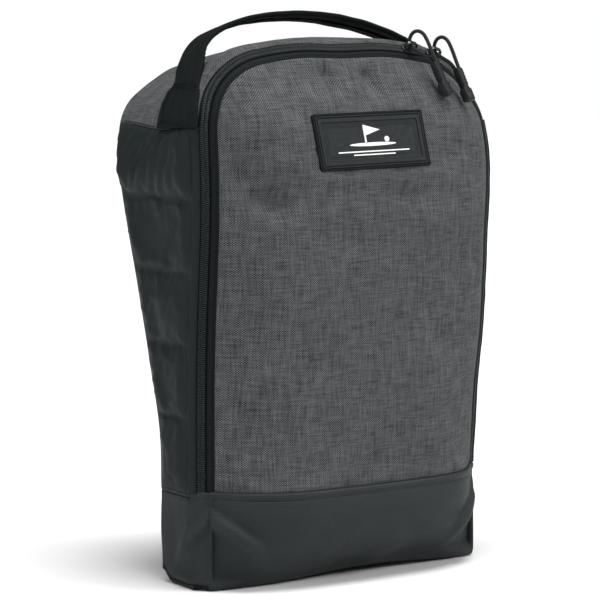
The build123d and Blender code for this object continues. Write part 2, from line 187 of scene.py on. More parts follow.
def settle(point):
    """The full bag leans a little: its upper front stands forward, its right side fuller."""
    x, y, z = point
    ahead = LEAN[0] * bump(z, *LEAN[1:]) * smooth((abs(x) - 40) / 60) * (1 - smooth((y + 20) / 90))
    ahead *= 1 - smooth((z - 316) / 27)
    fuller = right_side(z) * smooth((x - 40) / 70) * (1 - 0.75 * smooth((y + 30) / 45))
    sag = CROWN_SAG[0] * bump(x, *CROWN_SAG[1:]) * smooth((z - 335) / 25)
    return x + fuller, y - ahead, z - sag * (1 - smooth((y + 24) / 30))


# ---------------------------------------------------------------- meshes
def make(name, points, faces, material, corners=None, warp=True):
    """A smooth mesh from points in millimetres. corners gives every face's cloth places."""
    if warp:
        points = [settle(p) for p in points]
    mesh = bpy.data.meshes.new(name)
    mesh.from_pydata([Vector(p) * MM for p in points], [], faces)
    mesh.polygons.foreach_set("use_smooth", [True] * len(mesh.polygons))
    if corners is not None:
        flat = [c * MM for face in corners for place in face for c in place]
        mesh.uv_layers.new(name="cloth").data.foreach_set("uv", flat)
    mesh.materials.append(material)
    return linked(name, mesh)


def linked(name, data):
    """A new object in the scene's collection."""
    obj = bpy.data.objects.new(name, data)
    bpy.context.scene.collection.objects.link(obj)
    return obj


def dress(obj, slot, *nodes, body="bag", thickness=0.0, offset=-1.0):
    """Gives a piece its thickness and the body it rides, and hides the CAD nodes it stands for. The
    slot is not used.
    """
    if thickness:
        layer = obj.modifiers.new("thickness", "SOLIDIFY")
        layer.thickness = thickness * MM
        layer.offset = offset
    if body:
        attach(obj, body)
    if nodes:
        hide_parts(*nodes)
    return obj


def bend(obj, joint, body, low, high):
    """Bakes a cloth's placement into its mesh. The joint, the body and the two heights are not
    used.
    """
    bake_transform(obj)


def bend_at_seam(obj):
    """Bakes the placement of a piece of the flap into its mesh, through bend."""
    bend(obj, "flap_hinge", "flap", SEAM_Z, SEAM_Z + SEAM_BEND)


def lattice(rows, count, closed=True, capped=True):
    """Faces of a lattice of rows of points."""
    faces = []
    for i in range(rows - 1):
        for j in range(count if closed else count - 1):
            a, b = i * count + j, i * count + (j + 1) % count
            faces.append((a, b, b + count, a + count))
    if capped:
        faces += [tuple(range(count))[::-1], tuple(range((rows - 1) * count, rows * count))]
    return faces


def grid(name, rows, material, closed=False, capped=False, warp=True):
    """A sheet through rows of points. closed joins each row's end to its start."""
    count = len(rows[0])
    array = np.array(rows, float)
    wrapped = np.concatenate([array, array[:, :1]], axis=1) if closed else array
    along, across = (
        np.append(0, np.cumsum(np.linalg.norm(np.diff(places, axis=axis), axis=2).mean(1 - axis)))
        for places, axis in ((array, 0), (wrapped, 1)))
    corners = [[(across[j], along[i]), (across[j + 1], along[i]),
                (across[j + 1], along[i + 1]), (across[j], along[i + 1])]
               for i in range(len(rows) - 1) for j in range(len(across) - 1)]
    corners += [[(0.0, 0.0)] * count] * (2 * capped)
    faces = lattice(len(rows), count, closed, capped)
    return make(name, [p for row in rows for p in row], faces, material, corners, warp)


def cut(outline, pitch, inner=()):
    """Fills a closed flat outline with an even lattice; edges also follow the inner lines."""
    flat = [Vector(p) for p in outline]
    edges = [(i, (i + 1) % len(flat)) for i in range(len(flat))]
    for line in inner:
        edges += [(len(flat) + i, len(flat) + i + 1) for i in range(len(line) - 1)]
        flat += [Vector(p) for p in line]
    border, ring = np.array([tuple(p) for p in flat]), np.array(outline, float)
    (left, low), (right, high) = ring.min(axis=0), ring.max(axis=0)
    step = pitch * sin(radians(60))
    for row in range(int((high - low) / step) + 1):
        v = low + row * step
        for column in range(int((right - left) / pitch) + 2):
            u = left + (column + 0.5 * (row % 2)) * pitch
            near = np.hypot(border[:, 0] - u, border[:, 1] - v).min()
            if near > 0.62 * pitch and within(u, v, ring):
                flat.append(Vector((u, v)))
    verts, _, triangles, *_ = delaunay_2d_cdt(flat, edges, [list(range(len(outline)))], 1, 1e-4)
    return [tuple(v) for v in verts], [tuple(t) for t in triangles]


def within(u, v, ring):
    """Whether a flat place lies inside a ring of points."""
    ahead = np.roll(ring, -1, axis=0)
    crossing = (ring[:, 1] > v) != (ahead[:, 1] > v)
    slope = np.where(crossing, ahead[:, 1] - ring[:, 1], 1.0)
    reach = ring[:, 0] + (v - ring[:, 1]) / slope * (ahead[:, 0] - ring[:, 0])
    return bool(np.count_nonzero(crossing & (u < reach)) % 2)


def sewn(name, places, triangles, shape, material, turned=False):
    """A cut piece of cloth, each of whose flat places goes where shape says."""
    if turned:
        triangles = [t[::-1] for t in triangles]
    corners = [[places[i] for i in t] for t in triangles]
    return make(name, [shape(*p) for p in places], triangles, material, corners)


def relax(obj, held, rounds, axis=None):
    """Evens out a mesh; held says which vertices stay. axis limits it to one direction."""
    mesh = obj.data
    points = np.array([v.co for v in mesh.vertices])
    ends = np.array([e.vertices for e in mesh.edges])
    free = np.array([not held(*(v.co / MM)) for v in mesh.vertices])
    count = np.bincount(ends.ravel(), minlength=len(points))[:, None]
    for _ in range(rounds):
        total = np.zeros_like(points)
        np.add.at(total, ends[:, 0], points[ends[:, 1]])
        np.add.at(total, ends[:, 1], points[ends[:, 0]])
        move = (total / count - points) * 0.6
        if axis is not None:
            move[:, [a for a in range(3) if a != axis]] = 0
        points[free] += move[free]
    mesh.vertices.foreach_set("co", points.ravel())
    mesh.update()


CLOTH_STIFFNESS = {"quality": 8, "mass": 0.02, "tension_stiffness": 12, "compression_stiffness": 12,
                   "shear_stiffness": 6, "bending_stiffness": 0.4}


def billow(obj, pinned, growth, pressure, cap, rounds=26):
    """Sews a cloth down at its pinned vertices and lets the slack between them swell."""
    rest = np.array([v.co for v in obj.data.vertices])
    group = obj.vertex_groups.new(name="sewn")
    group.add([i for i, v in enumerate(rest) if pinned(*(v / MM))], 1.0, "REPLACE")
    cloth = obj.modifiers.new("cloth", "CLOTH")
    cloth.point_cache.frame_start = 1
    cloth.point_cache.frame_end = rounds
    for setting, value in CLOTH_STIFFNESS.items():
        setattr(cloth.settings, setting, value)
    cloth.settings.shrink_min = -growth
    cloth.settings.vertex_group_mass = "sewn"
    cloth.settings.use_pressure = True
    cloth.settings.uniform_pressure_force = pressure
    cloth.settings.effector_weights.gravity = 0
    for step in range(1, rounds + 1):
        bpy.context.scene.frame_set(step)
    settled = obj.evaluated_get(bpy.context.evaluated_depsgraph_get())
    shift = np.array([v.co for v in settled.data.vertices]) - rest
    bpy.context.scene.frame_set(1)
    obj.modifiers.remove(cloth)
    obj.vertex_groups.remove(group)
    length = np.linalg.norm(shift, axis=1, keepdims=True)
    limit = cap * MM
    shift *= limit * np.tanh(length / limit) / np.maximum(length, 1e-9)
    obj.data.vertices.foreach_set("co", (rest + shift).ravel())
    obj.data.update()


def repeat(name, template, places, material, warp=True):
    """One mesh with a copy of a template at every place: its middle and its three axes."""
    base, faces = np.array(template[0], float), template[1]
    points, index = [], []
    for number, (middle, *axes) in enumerate(places):
        points += [tuple(p) for p in base @ np.array(axes, float) + np.array(middle, float)]
        index += [tuple(i + number * len(base) for i in face) for face in faces]
    return make(name, points, index, material, None, warp)


def capsule(length, width, height, sides=6, rings=5):
    """A rounded bar along X, as points and faces."""
    points = []
    for ring in range(rings):
        angle = pi * ring / (rings - 1)
        swell = max(sin(angle), 0.18) ** 0.45
        for side in range(sides):
            turn = 2 * pi * side / sides
            points.append((-cos(angle) * length / 2, swell * cos(turn) * width / 2,
                           swell * sin(turn) * height / 2))
    return points, lattice(rings, sides)


def walk(path, pitch):
    """Even places along a path of (point, outward) pairs: middle, along, across, out."""
    points, outs = (np.array(column, float) for column in zip(*path))
    runs = np.append(0, np.cumsum(np.linalg.norm(np.diff(points, axis=0), axis=1)))

    def at(run, values):
        return Vector([np.interp(run, runs, values[:, k]) for k in range(3)])

    places = []
    for run in np.arange(pitch / 2, runs[-1] - pitch / 4, pitch):
        out = at(run, outs).normalized()
        along = at(run + 0.5, points) - at(run - 0.5, points)
        along = (along - out * along.dot(out)).normalized()
        places.append((at(run, points), along, out.cross(along), out))
    return places


def stitch(name, slot, paths, pitch, length, width, body="bag"):
    """Sewing thread that shows as a row of short, sunk stitches along each path."""
    places = [place for path in paths for place in walk(path, pitch)]
    obj = repeat(name, capsule(length, width, width * 0.9), places, THREAD, warp=False)
    return dress(obj, slot, body=body)


def seam_path(obj, places, direction, lift=0.0):
    """A seam's places on a made cloth, each with the side that direction points to."""
    path = []
    for place in places:
        _, point, normal, _ = obj.closest_point_on_mesh(Vector(settle(place)) * MM)
        out = normal if normal.dot(Vector(direction)) > 0 else -normal
        path.append((tuple(point / MM + normal * lift), tuple(out)))
    return path


# ---------------------------------------------------------------- materials
class Finish:
    """One procedural material on the Principled shader; fixed values sit on its own sockets."""

    def __init__(self, name, color, roughness, **fixed):
        self.material = bpy.data.materials.new(name)
        self.material.use_nodes = True
        self.nodes = self.material.node_tree.nodes
        self.links = self.material.node_tree.links
        self.shader = self.nodes["Principled BSDF"]
        self.shader.inputs["Base Color"].default_value = (*color, 1)
        self.shader.inputs["Roughness"].default_value = roughness
        for socket, value in fixed.items():
            self.shader.inputs[socket.replace("_", " ")].default_value = value
        self.height = None

    def node(self, kind, **inputs):
        node = self.nodes.new("ShaderNode" + kind)
        for socket, value in inputs.items():
            self.feed(node.inputs[socket.replace("_", " ")], value)
        return node

    def feed(self, socket, value):
        if isinstance(value, bpy.types.NodeSocket):
            self.links.new(value, socket)
        else:
            socket.default_value = value

    def math(self, operation, *values):
        node = self.nodes.new("ShaderNodeMath")
        node.operation = operation
        for socket, value in zip(node.inputs, values):
            self.feed(socket, value)
        return node.outputs[0]

    def times(self, value, factor):
        return self.math("MULTIPLY", value, factor)

    def wave(self, value):
        """Half a wave for every whole step of a value."""
        return self.math("SINE", self.times(value, pi))

    def ridge(self, value):
        """One rounded ridge for every whole step of a value."""
        return self.wave(self.math("FRACT", value))

    def cloth(self, pitch):
        """The cloth map in threads: whole numbers fall between neighbours."""
        uv = self.nodes.new("ShaderNodeUVMap")
        uv.uv_map = "cloth"
        parts = self.node("SeparateXYZ", Vector=uv.outputs[0])
        return [self.math("DIVIDE", parts.outputs[k], pitch * MM) for k in (0, 1)]

    def solid(self, scale):
        """Object space in noise units of scale millimetres."""
        place = self.node("TexCoord").outputs["Object"]
        return self.node("Mapping", Vector=place, Scale=[1 / (scale * MM)] * 3).outputs[0]

    def grain(self, vector, detail=2.0):
        return self.node("TexNoise", Vector=vector, Scale=1.0, Detail=detail).outputs[0]

    def streaks(self, thread, run, length, seed):
        """A tone for every thread that drifts along it, as slubby yarn does."""
        place = self.node("CombineXYZ", X=self.times(self.math("FLOOR", thread), 3.17),
                          Y=self.math("DIVIDE", run, length), Z=seed)
        return self.grain(place.outputs[0], 1.0)

    def blend(self, factor, low, high):
        mix = self.nodes.new("ShaderNodeMix")
        mix.data_type = "RGBA"
        self.feed(mix.inputs["Factor"], factor)
        for socket, value in (("A", low), ("B", high)):
            target = [i for i in mix.inputs if i.name == socket and i.type == "RGBA"][0]
            if isinstance(value, bpy.types.NodeSocket):
                self.links.new(value, target)
            else:
                target.default_value = (*value, 1)
        return [o for o in mix.outputs if o.type == "RGBA"][0]

    def span(self, value, low, high, bottom=0.0, top=1.0):
        node = self.nodes.new("ShaderNodeMapRange")
        for socket, number in zip(node.inputs, (value, low, high, bottom, top)):
            self.feed(socket, number)
        return node.outputs[0]

    def raise_by(self, height, distance, strength=1.0):
        """Adds relief of a real height in millimetres."""
        node = self.node("Bump", Height=height, Strength=strength, Distance=distance * MM)
        if self.height is not None:
            self.links.new(self.height, node.inputs["Normal"])
        self.height = node.outputs[0]
        self.links.new(self.height, self.shader.inputs["Normal"])

    def tint(self, socket):
        self.links.new(socket, self.shader.inputs["Base Color"])

    def gloss(self, socket):
        self.links.new(socket, self.shader.inputs["Roughness"])

    def threads(self, u, v):
        """Plain weave: 1 where the upright thread is on top, and the relief of both."""
        over = self.math("ADD", self.math("FLOOR", u), self.math("FLOOR", v))
        over = self.math("ABSOLUTE", self.math("MODULO", over, 2))
        upright = self.times(over, self.ridge(u))
        level = self.times(self.math("SUBTRACT", 1, over), self.ridge(v))
        return over, self.math("ADD", upright, level)


def heather():
    f = Finish("heather_weave", (0.08, 0.083, 0.086), 0.9, Specular_IOR_Level=0.2)
    u, v = f.cloth(0.74)
    over, relief = f.threads(u, v)
    warp = f.span(f.streaks(u, v, 22.0, 1.0), 0.30, 0.70)
    weft = f.span(f.streaks(v, u, 18.0, 9.0), 0.30, 0.70)
    light = f.blend(f.math("MULTIPLY_ADD", warp, 0.55, f.times(weft, 0.45)),
                    (0.054, 0.057, 0.060), (0.190, 0.195, 0.200))
    dark = f.blend(f.math("MULTIPLY_ADD", warp, 0.45, f.times(weft, 0.55)),
                   (0.001, 0.0015, 0.002), (0.038, 0.041, 0.044))
    f.tint(f.blend(over, dark, light))
    f.raise_by(relief, 0.16, 0.8)
    f.raise_by(f.math("ADD", warp, weft), 0.08, 0.5)
    return f.material


def quilt_nylon():
    f = Finish("quilt_nylon", (0.013, 0.0175, 0.018), 0.5, Specular_IOR_Level=0.08)
    u, v = f.cloth(0.36)
    _, relief = f.threads(u, v)
    drift = f.grain(f.solid(9), 3.0)
    f.tint(f.blend(drift, (0.0115, 0.0155, 0.016), (0.0160, 0.0205, 0.021)))
    f.gloss(f.span(drift, 0.3, 0.7, 0.44, 0.56))
    f.raise_by(relief, 0.035, 0.6)
    f.raise_by(f.grain(f.solid(5.0), 2.0), 0.25, 0.5)
    return f.material


def coated():
    f = Finish("coated_twill", (0.019, 0.0235, 0.0245), 0.48, Specular_IOR_Level=0.18)
    u, v = f.cloth(0.8)
    _, relief = f.threads(u, f.times(v, 0.62))
    drift = f.grain(f.solid(14), 3.0)
    ribs = f.wave(v)
    # Painted shade: the colour darkens in the grooves between the threads, following the same
    # relief as the bump.
    f.tint(f.blend(f.span(relief, 0, 1), (0.007, 0.0092, 0.010), (0.0255, 0.0313, 0.0322)))
    f.gloss(f.span(drift, 0.3, 0.7, 0.42, 0.55))
    f.raise_by(f.times(ribs, ribs), 0.14, 0.9)
    f.raise_by(relief, 0.10, 0.8)
    return f.material


def tape_cloth(name, color, pitch, roughness=0.75):
    f = Finish(name, color, roughness, Specular_IOR_Level=0.1)
    u, v = f.cloth(pitch)
    twill = f.ridge(f.math("ADD", u, f.times(f.math("FLOOR", v), 0.5)))
    grain = f.grain(f.solid(3), 2.0)
    # Painted shade: the colour darkens in the twill's grooves, following the same ridges as the
    # bump, times a random tone from the grain.
    f.tint(f.blend(f.times(twill, f.span(grain, 0.2, 0.8, 0.7, 1.3)),
                   [c * 0.6 for c in color], [c * 1.25 for c in color]))
    f.raise_by(twill, pitch * 0.22, 0.8)
    return f.material


def webbing():
    f = Finish("webbing_weave", (0.0085, 0.0125, 0.012), 0.8, Specular_IOR_Level=0.1)
    u, v = f.cloth(1.15)
    zigzag = f.math("PINGPONG", u, 4.0)
    rib = f.ridge(f.math("ADD", v, f.times(zigzag, 0.55)))
    yarn = f.ridge(f.times(u, 2))
    fuzz = f.grain(f.solid(1.6), 3.0)
    # Painted shade: the colour darkens in the grooves between the ribs, following the same ridges
    # as the bump, times a random tone from the fuzz.
    f.tint(f.blend(f.times(rib, f.span(fuzz, 0.2, 0.8, 0.6, 1.2)),
                   (0.0006, 0.0011, 0.0010), (0.0078, 0.0120, 0.0116)))
    f.raise_by(rib, 0.45, 0.9)
    f.raise_by(yarn, 0.10, 0.6)
    return f.material


def moulded(name, color, roughness, grain_mm, relief, **fixed):
    f = Finish(name, color, roughness, **fixed)
    grain = f.grain(f.solid(grain_mm), 4.0)
    wear = f.grain(f.solid(grain_mm * 12), 3.0)
    f.tint(f.blend(wear, [c * 0.85 for c in color], [c * 1.2 for c in color]))
    f.gloss(f.span(wear, 0.3, 0.7, roughness - 0.06, roughness + 0.06))
    f.raise_by(grain, relief, 0.6)
    return f.material


def braid():
    f = Finish("cord_braid", (0.014, 0.016, 0.0165), 0.72, Sheen_Weight=0.1,
               Specular_IOR_Level=0.2)
    place = f.node("SeparateXYZ", Vector=f.node("TexCoord").outputs["UV"])
    along = f.times(place.outputs[0], 46.0)
    around = f.times(place.outputs[1], 4.0)
    plait = f.math("MAXIMUM", *(f.math("SINE", f.times(f.math(lay, along, around), 2 * pi))
                                for lay in ("ADD", "SUBTRACT")))
    # Painted shade: the colour darkens in the plait's grooves, following the same relief as the
    # bump.
    f.tint(f.blend(f.span(plait, -0.4, 1), (0.004, 0.005, 0.0055), (0.016, 0.0185, 0.019)))
    f.raise_by(plait, 0.16, 0.8)
    return f.material


HEATHER = heather()
NYLON = quilt_nylon()
COATED = coated()
TAPE = tape_cloth("zipper_tape_twill", (0.007, 0.0105, 0.0105), 0.5)
RIM_CLOTH = tape_cloth("rim_twill", (0.0056, 0.0086, 0.0086), 0.42, 0.6)
BLACK_CLOTH = tape_cloth("black_packcloth", (0.019, 0.0235, 0.024), 0.8, 0.6)
MESH_CLOTH = tape_cloth("bottom_mesh", (0.007, 0.0095, 0.010), 1.4)
LINING_CLOTH = tape_cloth("lining_taffeta", (0.055, 0.058, 0.062), 0.3, 0.6)
THREAD = tape_cloth("sewing_thread", (0.004, 0.0055, 0.006), 0.2)
WEBBING = webbing()
BRAID = braid()
TEETH = moulded("coil_nylon", (0.010, 0.0145, 0.0145), 0.38, 0.4, 0.02, Specular_IOR_Level=0.35)
METAL = moulded("slider_black_paint", (0.014, 0.015, 0.0155), 0.36, 0.5, 0.02,
                Metallic=0.35, Coat_Weight=0.3, Coat_Roughness=0.25)
GRIP = moulded("grip_rubber", (0.0078, 0.0098, 0.0102), 0.5, 0.35, 0.03, Specular_IOR_Level=0.22)
PATCH = moulded("patch_rubber", (0.0085, 0.0115, 0.012), 0.46, 0.3, 0.015, Specular_IOR_Level=0.12)
PATCH_EDGE = moulded("patch_edge", (0.0035, 0.005, 0.005), 0.5, 0.3, 0.02, Specular_IOR_Level=0.08)
INK = moulded("patch_white_ink", (0.80, 0.81, 0.81), 0.5, 0.6, 0.01)


# ---------------------------------------------------------------- camera, light and floor
CAMERA_PLACE = (-0.97696, -1.45109, 0.36945)
CAMERA_AHEAD = (0.5486, 0.8297, -0.1035)
CAMERA_LENS = 152.04
LAMPS = [  # name, direction it comes from, spread in degrees, strength
    ("key", (1.1, -1.0, 0.9), 22, 1.75),
    ("fill", (-1.0, -0.2, 0.5), 50, 1.1),
    ("top", (0.0, -0.12, 1.0), 24, 3.4),
]
ROOM_LIGHT = 0.20  # the white room's light on the bag, beside 1.0 where the camera sees it
FLOOR_REACH = 6.0  # metres


def studio():
    camera = linked("camera", bpy.data.cameras.new("camera"))
    camera.data.lens = CAMERA_LENS
    camera.data.clip_start = 0.1
    camera.location = CAMERA_PLACE
    camera.rotation_euler = Vector(CAMERA_AHEAD).to_track_quat("-Z", "Y").to_euler()
    bpy.context.scene.camera = camera
    for name, source, spread, power in LAMPS:
        light = linked(name, bpy.data.lights.new(name, "SUN"))
        light.data.angle = radians(spread)
        light.data.energy = power
        light.rotation_euler = (-Vector(source)).to_track_quat("-Z", "Y").to_euler()

    world = bpy.data.worlds.new("white_studio")
    bpy.context.scene.world = world
    world.use_nodes = True
    nodes, links = world.node_tree.nodes, world.node_tree.links
    nodes["Background"].inputs["Color"].default_value = (1, 1, 1, 1)
    level = nodes.new("ShaderNodeMapRange")
    links.new(nodes.new("ShaderNodeLightPath").outputs["Is Camera Ray"], level.inputs["Value"])
    level.inputs["To Min"].default_value = ROOM_LIGHT
    level.inputs["To Max"].default_value = 1.0
    links.new(level.outputs[0], nodes["Background"].inputs["Strength"])
    bpy.context.scene.view_settings.view_transform = "Standard"

    mesh = bpy.data.meshes.new("floor")
    mesh.from_pydata([(x * FLOOR_REACH, y * FLOOR_REACH, 0)
                      for x, y in ((-1, -1), (1, -1), (1, 1), (-1, 1))], [], [(0, 1, 2, 3)])
    paper = Finish("white_paper", (0.74, 0.74, 0.74), 0.95, Specular_IOR_Level=0.1)
    paper.raise_by(paper.grain(paper.solid(0.8)), 0.02, 0.3)
    mesh.materials.append(paper.material)
    linked("floor", mesh)


studio()


# ---------------------------------------------------------------- pulls and their cords
PULL_CORDS = {  # metres, from the grip over the top fold, round the bar and back to the grip
    "a": [(0.06398, -0.04872, 0.34791), (0.06275, -0.04533, 0.35501), (0.061, -0.04054, 0.36601),
          (0.05977, -0.03716, 0.37141), (0.05826, -0.03302, 0.37341), (0.05683, -0.02908, 0.37241),
          (0.05587, -0.02645, 0.36901), (0.05563, -0.02579, 0.36301), (0.05799, -0.03227, 0.35911),
          (0.06162, -0.04223, 0.35431), (0.06316, -0.04646, 0.34671)],
    "b": [(0.0829, -0.04936, 0.34372), (0.08203, -0.04587, 0.35082), (0.08079, -0.04092, 0.36182),
          (0.07992, -0.03743, 0.36722), (0.07886, -0.03316, 0.36922), (0.07784, -0.02908, 0.36822),
          (0.07716, -0.02637, 0.36482), (0.07699, -0.02569, 0.35882), (0.07866, -0.03238, 0.35492),
          (0.08123, -0.04267, 0.35012), (0.08232, -0.04703, 0.34252)],
}
CORD_D = 0.0026
GRIP_ENDS = {"a": ((62.8, -45.4, 351.8), (66.7, -56.1, 329.3)),
             "b": ((82.05, -45.97, 347.6), (84.8, -57.0, 325.1))}


def pull_cord(letter):
    line = bpy.data.curves.new(f"pull_{letter}_cord", "CURVE")
    line.dimensions = "3D"
    line.bevel_depth = CORD_D / 2
    line.bevel_resolution = 5
    line.resolution_u = 10
    line.use_fill_caps = True
    spline = line.splines.new("NURBS")
    spline.points.add(len(PULL_CORDS[letter]) - 1)
    for point, place in zip(spline.points, PULL_CORDS[letter]):
        point.co = (*place, 1)
    spline.order_u = 3
    spline.use_endpoint_u = True
    line.materials.append(BRAID)
    obj = linked(f"cord_{letter}", line)
    return dress(obj, "pull_cord", f"pull_{letter}_cord", body=f"pull_{letter}")


def pull_grip(letter):
    """A moulded grip: a ribbed square stem under a collar, and a fatter foot."""
    top, foot = (Vector(p) for p in GRIP_ENDS[letter])
    length = (foot - top).length
    down = (foot - top).normalized()
    side = down.cross(Vector((0, 0, 1))).normalized()
    front = side.cross(down)
    profile = [(0.0, 1.5, 1.5), (0.25, 2.2, 2.2), (1.0, 2.6, 2.6), (2.6, 2.8, 2.8)]
    for rib in (4.2, 6.6, 9.0, 11.4):
        profile += [(rib, 2.75, 2.75), (rib + 0.5, 2.95, 2.85), (rib + 1.1, 2.95, 2.85),
                    (rib + 1.6, 2.7, 2.7)]
    profile += [(14.6, 2.55, 2.55), (15.6, 2.6, 2.6), (16.4, 3.5, 3.1), (17.2, 3.9, 3.3),
                (length - 1.2, 4.0, 3.3), (length - 0.4, 3.7, 3.0), (length, 3.1, 2.4)]
    around = [(cos(2 * pi * step / 24), sin(2 * pi * step / 24)) for step in range(24)]
    rows = [[tuple(top + down * run + side * copysign(abs(c) ** 0.42, c) * wide
                   + front * copysign(abs(s) ** 0.42, s) * thick) for c, s in around]
            for run, wide, thick in profile]
    obj = grid(f"grip_{letter}", rows, GRIP, closed=True, capped=True, warp=False)
    obj.data.set_sharp_from_angle(angle=radians(50))
    return dress(obj, "pull_grip", f"pull_{letter}_grip", body=f"pull_{letter}")


for letter in PULL_CORDS:
    cord, grip = pull_cord(letter), pull_grip(letter)


# ---------------------------------------------------------------- sliders
CHAIN_S = 8.0  # the chain's middle on the bevel
SLIDER_PLATE = [(-5.5, -2.1), (-4.6, -3.3), (-2.6, -4.0), (0.5, -4.1), (3.4, -3.8), (5.1, -2.6),
                (5.6, -1.2), (5.6, 1.2), (5.1, 2.6), (3.4, 3.8), (0.5, 4.1), (-2.6, 4.0),
                (-4.6, 3.3), (-5.5, 2.1)]


def slab(outline, low, high):
    """A plate between two heights, from a flat outline."""
    return [(x, y, z) for z in (low, high) for x, y in outline], lattice(2, len(outline))


def arched_bar(reach, top, foot, half_w, half_t):
    """The slider's crown: a bar on two legs, with a flat oblong section."""
    path = [(-reach, foot), (-reach, top - 2.2), (-reach + 0.8, top - 0.7), (-reach + 2.2, top),
            (reach - 2.2, top), (reach - 0.8, top - 0.7), (reach, top - 2.2), (reach, foot)]
    points = []
    for index, (x, z) in enumerate(path):
        ahead, behind = path[min(index + 1, len(path) - 1)], path[max(index - 1, 0)]
        dx, dz = ahead[0] - behind[0], ahead[1] - behind[1]
        nx, nz = -dz / hypot(dx, dz) * half_t, dx / hypot(dx, dz) * half_t
        points += [(x + nx, -half_w, z + nz), (x + nx, half_w, z + nz),
                   (x - nx, half_w, z - nz), (x - nx, -half_w, z - nz)]
    return points, lattice(len(path), 4)


def merged(parts):
    """Several (points, faces) parts as one."""
    points, faces = [], []
    for part_points, part_faces in parts:
        faces += [tuple(i + len(points) for i in face) for face in part_faces]
        points += part_points
    return points, faces


def slider(letter, middle_x, middle_z, radius, turn):
    """A slider on the chain, turn degrees round a circle whose middle and radius are given."""
    out = Vector((sin(radians(turn)), 0, cos(radians(turn))))
    along = Vector((out.z, 0, -out.x))
    sunk = CHAIN_S * BEVEL
    middle = Vector((middle_x, GUSSET_Y - sunk, middle_z)) + out * (radius - sunk)
    face = (out - Vector((0, 1, 0))).normalized()
    flange = [(-3.4, 3.4), (2.6, 3.4), (2.6, 3.95), (-3.4, 3.95)]
    other = [(x, -y) for x, y in flange][::-1]
    under = [(-2.6, -1.5), (2.6, -1.5), (2.6, 1.5), (-2.6, 1.5)]
    parts = [slab(SLIDER_PLATE, 1.3, 2.4), slab(SLIDER_PLATE, -3.4, -2.3),
             arched_bar(4.2, 7.4, 2.0, 1.3, 0.7), slab(flange, -0.7, 1.5), slab(other, -0.7, 1.5),
             slab(under, 2.3, 3.0)]
    place = (middle, along, face.cross(along), face)
    obj = repeat(f"slider_body_{letter}", merged(parts), [place], METAL, warp=False)
    edges = obj.modifiers.new("worn_edges", "BEVEL")
    edges.width = 0.28 * MM
    edges.segments = 2
    obj.data.set_sharp_from_angle(angle=radians(40))
    dress(obj, "slider_metal", f"slider_{letter}", body=f"slider_{letter}")


slider("a", 0.0, TOP_Z - CROWN_R, CROWN_R, 8.6)
slider("b", CORNER_X, CORNER_Z, CORNER_R, 18.0)


# ---------------------------------------------------------------- zipper
TOOTH_PITCH = 1.25


def arch_steps(pitch):
    count = int(2 * ARCH_RUN / pitch)
    return [-ARCH_RUN + 2 * ARCH_RUN * i / count for i in range(count + 1)]


def zipper_band(name, node, flap, section, material):
    """A long trim of the zipper, whose section's s and t lie on the bevel."""
    rows = [[bevel(h, s, t) for s, t in section] for h in arch_steps(3.0)]
    obj = grid(name, rows, material, closed=True, capped=True)
    dress(obj, "zipper_tape", node, body=None if flap else "bag")
    if flap:
        bend_at_seam(obj)


def zipper_teeth(name, node, flap, s, start):
    """One side of the coil, tooth by tooth, from start mm above the seam."""
    places = []
    for h in np.arange(-ARCH_RUN + start, ARCH_RUN - 0.3, TOOTH_PITCH):
        _, _, nx, nz = arch(h, 0)
        places.append((bevel(h, s, -0.1), (-nx * BEVEL, -BEVEL, -nz * BEVEL), (nz, 0.0, -nx),
                       (nx * BEVEL, -BEVEL, nz * BEVEL)))
    obj = repeat(name, capsule(3.5, 0.92, 1.7), places, TEETH)
    dress(obj, "zipper_coil", node, body=None if flap else "bag")
    if flap:
        bend_at_seam(obj)


zipper_band("tape_outer", "zipper_tape_outer", False,
            [(1.2, 1.9), (1.2, 1.0), (2.0, 0.5), (3.2, 0.35), (4.3, 0.6), (5.0, 1.1), (7.4, 1.15),
             (7.4, 1.9)], TAPE)
zipper_band("tape_inner", "zipper_tape_inner", True,
            [(8.6, 1.9), (8.6, 1.15), (11.2, 1.1), (12.6, 1.1), (17.5, 1.2), (17.5, 1.9)], TAPE)
zipper_band("rim", "zipper_rim", True,
            [(11.5, 1.05), (11.6, 0.3), (12.2, -0.5), (13.2, -1.0), (14.6, -1.15), (15.7, -0.75),
             (15.9, -0.55), (16.1, -0.75), (16.9, -0.5), (17.6, 0.3), (17.9, 1.1)], RIM_CLOTH)
zipper_teeth("teeth_outer", "zipper_coil_outer", False, 6.55, 1.0)
zipper_teeth("teeth_inner", "zipper_coil_inner", True, 9.45, 1.625)


# ---------------------------------------------------------------- flap
PATCH_TILT = radians(16)
PATCH_ROLL = radians(1.4)
PATCH_MIDDLE = (0.0, -59.8, 300.0)
PATCH_SIZE = (90.0, 39.0)
PATCH_HOLD = 19  # how far above and below its middle the patch holds the cloth
FLAP_DENTS = [  # x, z, depth, and the spread across and up, of soft hollows and folds
    (14, 340, 9.0, 6.5, 11), (34, 337, 3.6, 7, 13), (-19, 343, 8.5, 6.5, 10),
    (-40, 339, 3.4, 7, 13), (-62, 330, 3.2, 12, 16), (-94, 281, 7.5, 11, 14),
    (-77, 262, 9.0, 13, 10), (-64, 284, -2.4, 14, 9), (-80, 215, -1.4, 14, 30),
    (28, 262, 1.9, 20, 8), (45, 246, -1.5, 22, 9), (70, 230, 2.2, 12, 40),
    (-20, 235, 1.8, 30, 12), (88, 290, 1.8, 10, 26), (-45, 150, 1.8, 18, 30),
    (35, 130, -1.8, 30, 26), (82, 130, 2.0, 12, 32), (0, 84, 1.4, 45, 10),
    (-88, 105, 1.8, 10, 24), (50, 190, 1.6, 16, 22),
]


